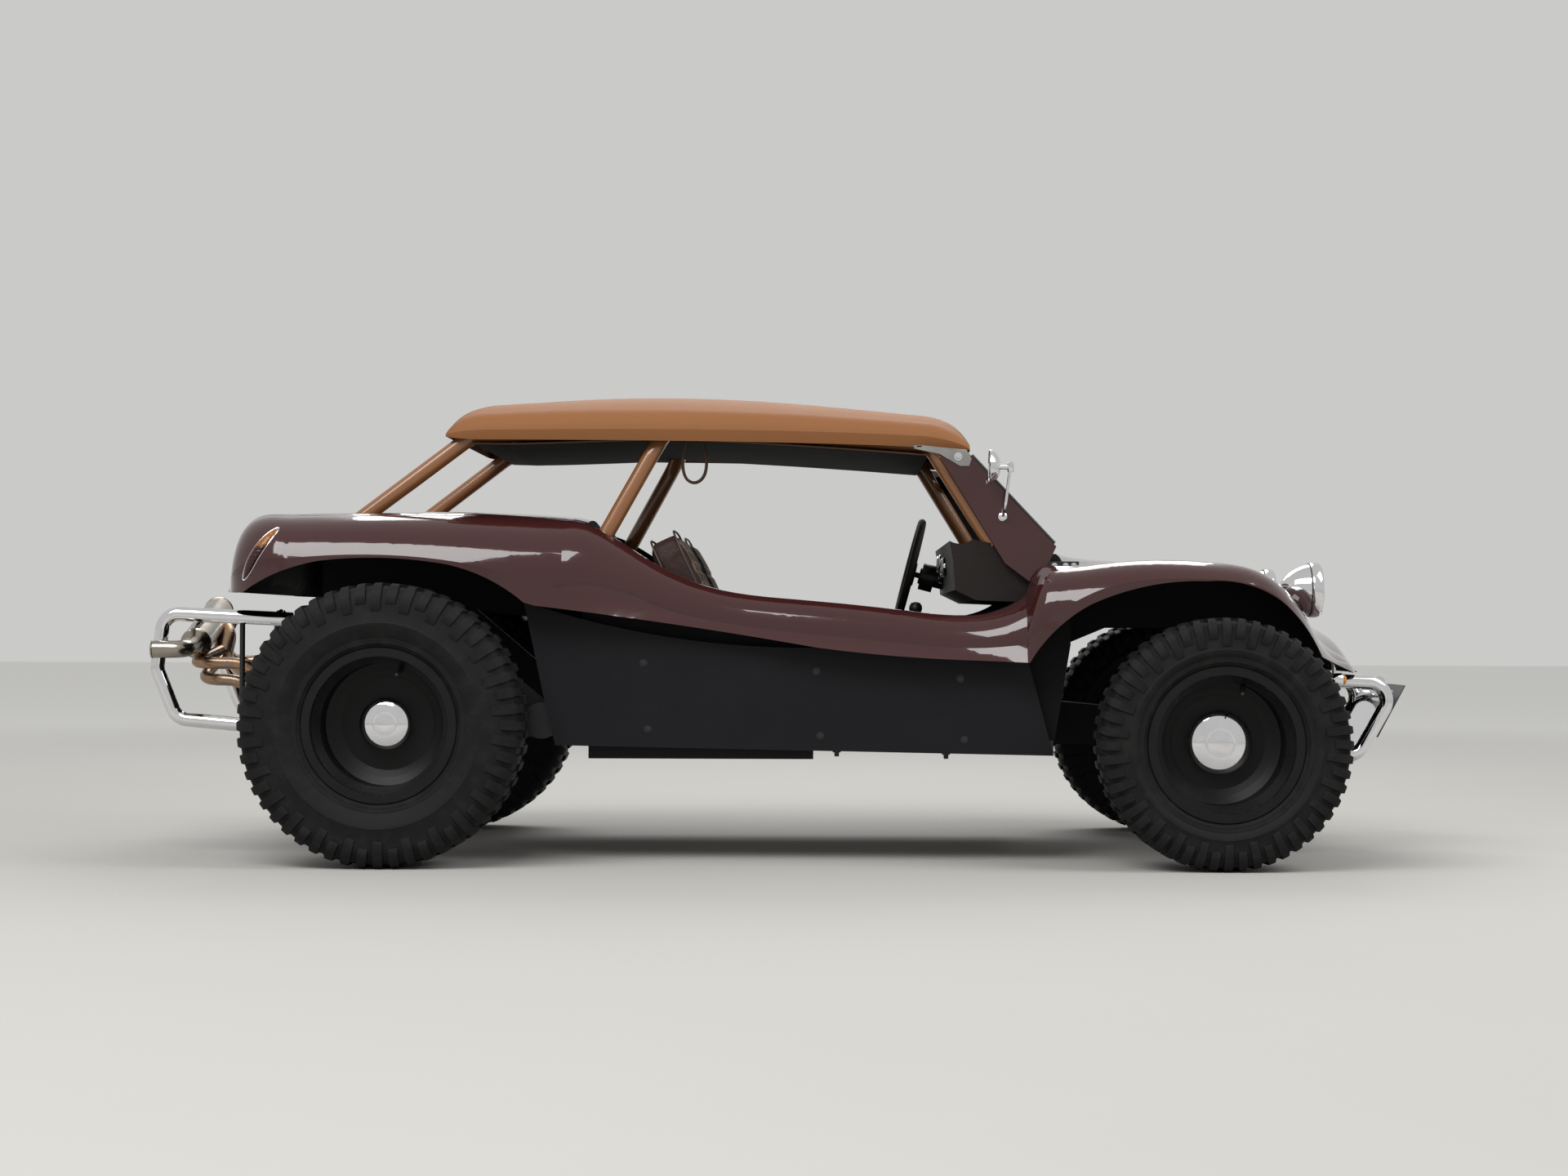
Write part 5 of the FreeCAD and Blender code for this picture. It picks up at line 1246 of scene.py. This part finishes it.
def buildCabin():
    runners = [plate(cabin["runner"], side * cabin["seatY"] + y, 30, 2) for side, tag in sides
               for y in cabin["runnerY"]]
    for name, parts, paint in (
            ("seatRunners", runners, "blackSteel"),
            ("gearLever", [tube(path(cabin["gear"]), 0.006, 0.07)], "chrome"),
            ("gearBoot", [lathe(cabin["gearBoot"], fromRear(*cabin["gear"][0]), upward)], "sealRubber"),
            ("gearKnob", [lathe(cabin["gearKnob"], fromRear(*cabin["knob"]), upward)], "blackTrim"),
            ("handBrake", [block(*path(cabin["brakeBase"])), tube(path(cabin["brake"]), 0.008)], "chrome"),
            ("handBrakeGrip", [tube(path(cabin["grip"]), 0.0125, steps=20)], "blackTrim")):
        addForm(name, parts, paint)
    buildPedals()


buildCabin()
print("controls fitted")


# small lamps and the feet of the headlamps

smallLamps = {"nose": (2730, 400, 536), "tail": (-384, 900, 902), "stem": (2672, 420, 752),
              "length": 0.088, "width": 0.0165, "lean": (0.543, 0, 0.84), "steps": 40,
              # share of the outline and height over the body, from the rim to the crown
              "dome": [(1.0, -0.002), (1.0, 0.003), (0.93, 0.0065), (0.78, 0.0095), (0.5, 0.012), (0.2, 0.013),
                       (0.02, 0.0132)],
              # turned profiles: radius and station
              "noseCup": mm(0.4, 40, 12, 40, 18, 48, 20, 60, 20, 80, 18.5, 83, 16.5, 81),
              "noseLens": mm(16.5, 80, 16.5, 85, 14, 90, 8.5, 94, 0.4, 95.5),
              "headGlass": mm(70.5, 17, 70.5, 20.5, 66, 24.5, 58, 28, 45, 31.8, 28, 34.8, 12, 36, 0.4, 36.2)}


def buildTailLamp(tree, side, tag):
    aim = path([smallLamps["tail"]], side)[0]
    point = hit(tree, aim + Vector((0, side * 0.3, 0)), (0, -side, 0), tree.find_nearest(aim)[0])
    along = Vector(smallLamps["lean"]).normalized()
    broad = Vector((-0.28, side, 0.12)).cross(along).normalized()
    out = along.cross(broad).normalized()
    if out.y * side < 0:
        out = -out
    steps = smallLamps["steps"]

    def ring(scale, lift):
        spots = [around(point, along * smallLamps["length"], broad * smallLamps["width"], scale,
                        2 * math.pi * i / steps) for i in range(steps)]
        return [hit(tree, spot + out * 0.08, -out, spot) + out * lift for spot in spots]

    points = [p for scale, lift in smallLamps["dome"] for p in ring(scale, lift)]
    addPiece("tailLamp" + tag, points, ladder(len(smallLamps["dome"]), steps), "tailLens")
    addLine("tailLampRim" + tag, ring(1.04, 0.0008), 0.0022, "chrome", closed=True)


def buildSmallLamps():
    tree = surfaceOf("body_tub")
    for side, tag in sides:
        start, top = path([smallLamps["nose"], smallLamps["stem"]], side)
        root = start + Vector((0.058, 0, 0))
        above = hit(tree, root, upward, root + Vector((0, 0, 0.09)))
        addForm("noseLampCup" + tag, [lathe(smallLamps["noseCup"], start, forward),
                                      tube([root, above + Vector((0, 0, 0.004))], 0.006)], "chrome")
        addTurned("noseLampLens" + tag, smallLamps["noseLens"], start, forward, "amberLens")
        buildTailLamp(tree, side, tag)
        # turned foot between the fender and the bowl of the headlamp
        base = hit(tree, top, (0, 0, -1), top - Vector((0, 0, 0.06)))
        rise = (top.z - base.z) * 1000
        foot = mm(0.4, -4, 27, -4, 27, 3, 18, 10, 13.5, 20, 13.5, rise - 4, 16, rise + 10, 0.4, rise + 12)
        addForm("lampStem" + tag, [lathe(foot, base, upward)], "chrome")
        addTurned("lampLens" + tag, smallLamps["headGlass"], (lamps["x"], side * lamps["y"], lamps["z"]), forward,
                  "lampGlass", steps=64)


buildSmallLamps()
print("small lamps fitted")


# studio

studio = {
    "floorColour": (0.43, 0.42, 0.40), "farFloor": (0.86, 0.855, 0.84), "floorSize": 90.0,
    "worldColour": (0.80, 0.80, 0.785), "worldLight": 0.74,
    "cameraPlace": (0.1335, -8.4752, 0.6815), "yaw": -0.0169, "pitch": 0.0155, "roll": 0.0027,
    "lens": 61.72,
    # place, aim, width, height, power
    "lamps": [((-2.5, -5.0, 6.0), (0.0, 0.0, 0.6), 6.0, 3.0, 420),
              ((4.5, -2.0, 4.5), (0.5, 0.0, 0.6), 3.0, 3.0, 140),
              ((0.0, 4.5, 5.0), (0.0, 0.0, 0.8), 5.0, 3.0, 200)],
}


def buildStudio():
    mesh = bpy.data.meshes.new("studioFloor")
    half = studio["floorSize"] / 2
    mesh.from_pydata([(-half, -half, 0), (half, -half, 0), (half, half, 0), (-half, half, 0)], [], [(0, 1, 2, 3)])
    floor = bpy.data.objects.new("studioFloor", mesh)
    bpy.context.scene.collection.objects.link(floor)
    f = Finish("floorFinish", studio["floorColour"], 0.9, Specular_IOR_Level=0.1)
    at = f.place()
    reach = (at.part(0) * at.part(0) + at.part(1) * at.part(1)) ** 0.5
    drift = f.noise(1.5, 4.0, 0.6) * 0.25
    # painted light and shade: the floor is darker round the car and lighter far off, so that it fades into the
    # backdrop
    f.set("Base Color", blendColour((reach.smooth(3.0, 13.0) + drift * 0.2).clamp(), studio["floorColour"],
                                    studio["farFloor"]))
    mesh.materials.append(f.material)
    world = bpy.data.worlds.new("studioWorld")
    bpy.context.scene.world = world
    world.use_nodes = True
    back = world.node_tree.nodes["Background"]
    back.inputs[0].default_value = studio["worldColour"] + (1,)
    back.inputs[1].default_value = studio["worldLight"]
    for i, (place, aim, width, height, power) in enumerate(studio["lamps"]):
        lamp = bpy.data.lights.new("softLamp%d" % i, "AREA")
        lamp.shape = "RECTANGLE"
        lamp.size = width
        lamp.size_y = height
        lamp.energy = power
        holder = bpy.data.objects.new("softLamp%d" % i, lamp)
        holder.location = place
        holder.rotation_euler = (Vector(aim) - Vector(place)).to_track_quat("-Z", "Y").to_euler()
        bpy.context.scene.collection.objects.link(holder)


def buildCamera():
    yaw, pitch, roll = studio["yaw"], studio["pitch"], studio["roll"]
    look = Vector((math.sin(yaw) * math.cos(pitch), math.cos(yaw) * math.cos(pitch), math.sin(pitch)))
    right = Vector((math.cos(yaw), -math.sin(yaw), 0))
    up = right.cross(look)
    turned = right * math.cos(roll) + up * math.sin(roll)
    up = up * math.cos(roll) - right * math.sin(roll)
    camera = bpy.data.cameras.new("studioCamera")
    camera.lens = studio["lens"]
    camera.sensor_width = 36.0
    camera.clip_end = 200.0
    holder = bpy.data.objects.new("studioCamera", camera)
    basis = Matrix((turned, up, -look)).transposed().to_4x4()
    basis.translation = studio["cameraPlace"]
    holder.matrix_world = basis
    bpy.context.scene.collection.objects.link(holder)
    bpy.context.scene.camera = holder


buildStudio()
buildCamera()
bpy.context.scene.view_settings.view_transform = "Standard"
print("studio ready")
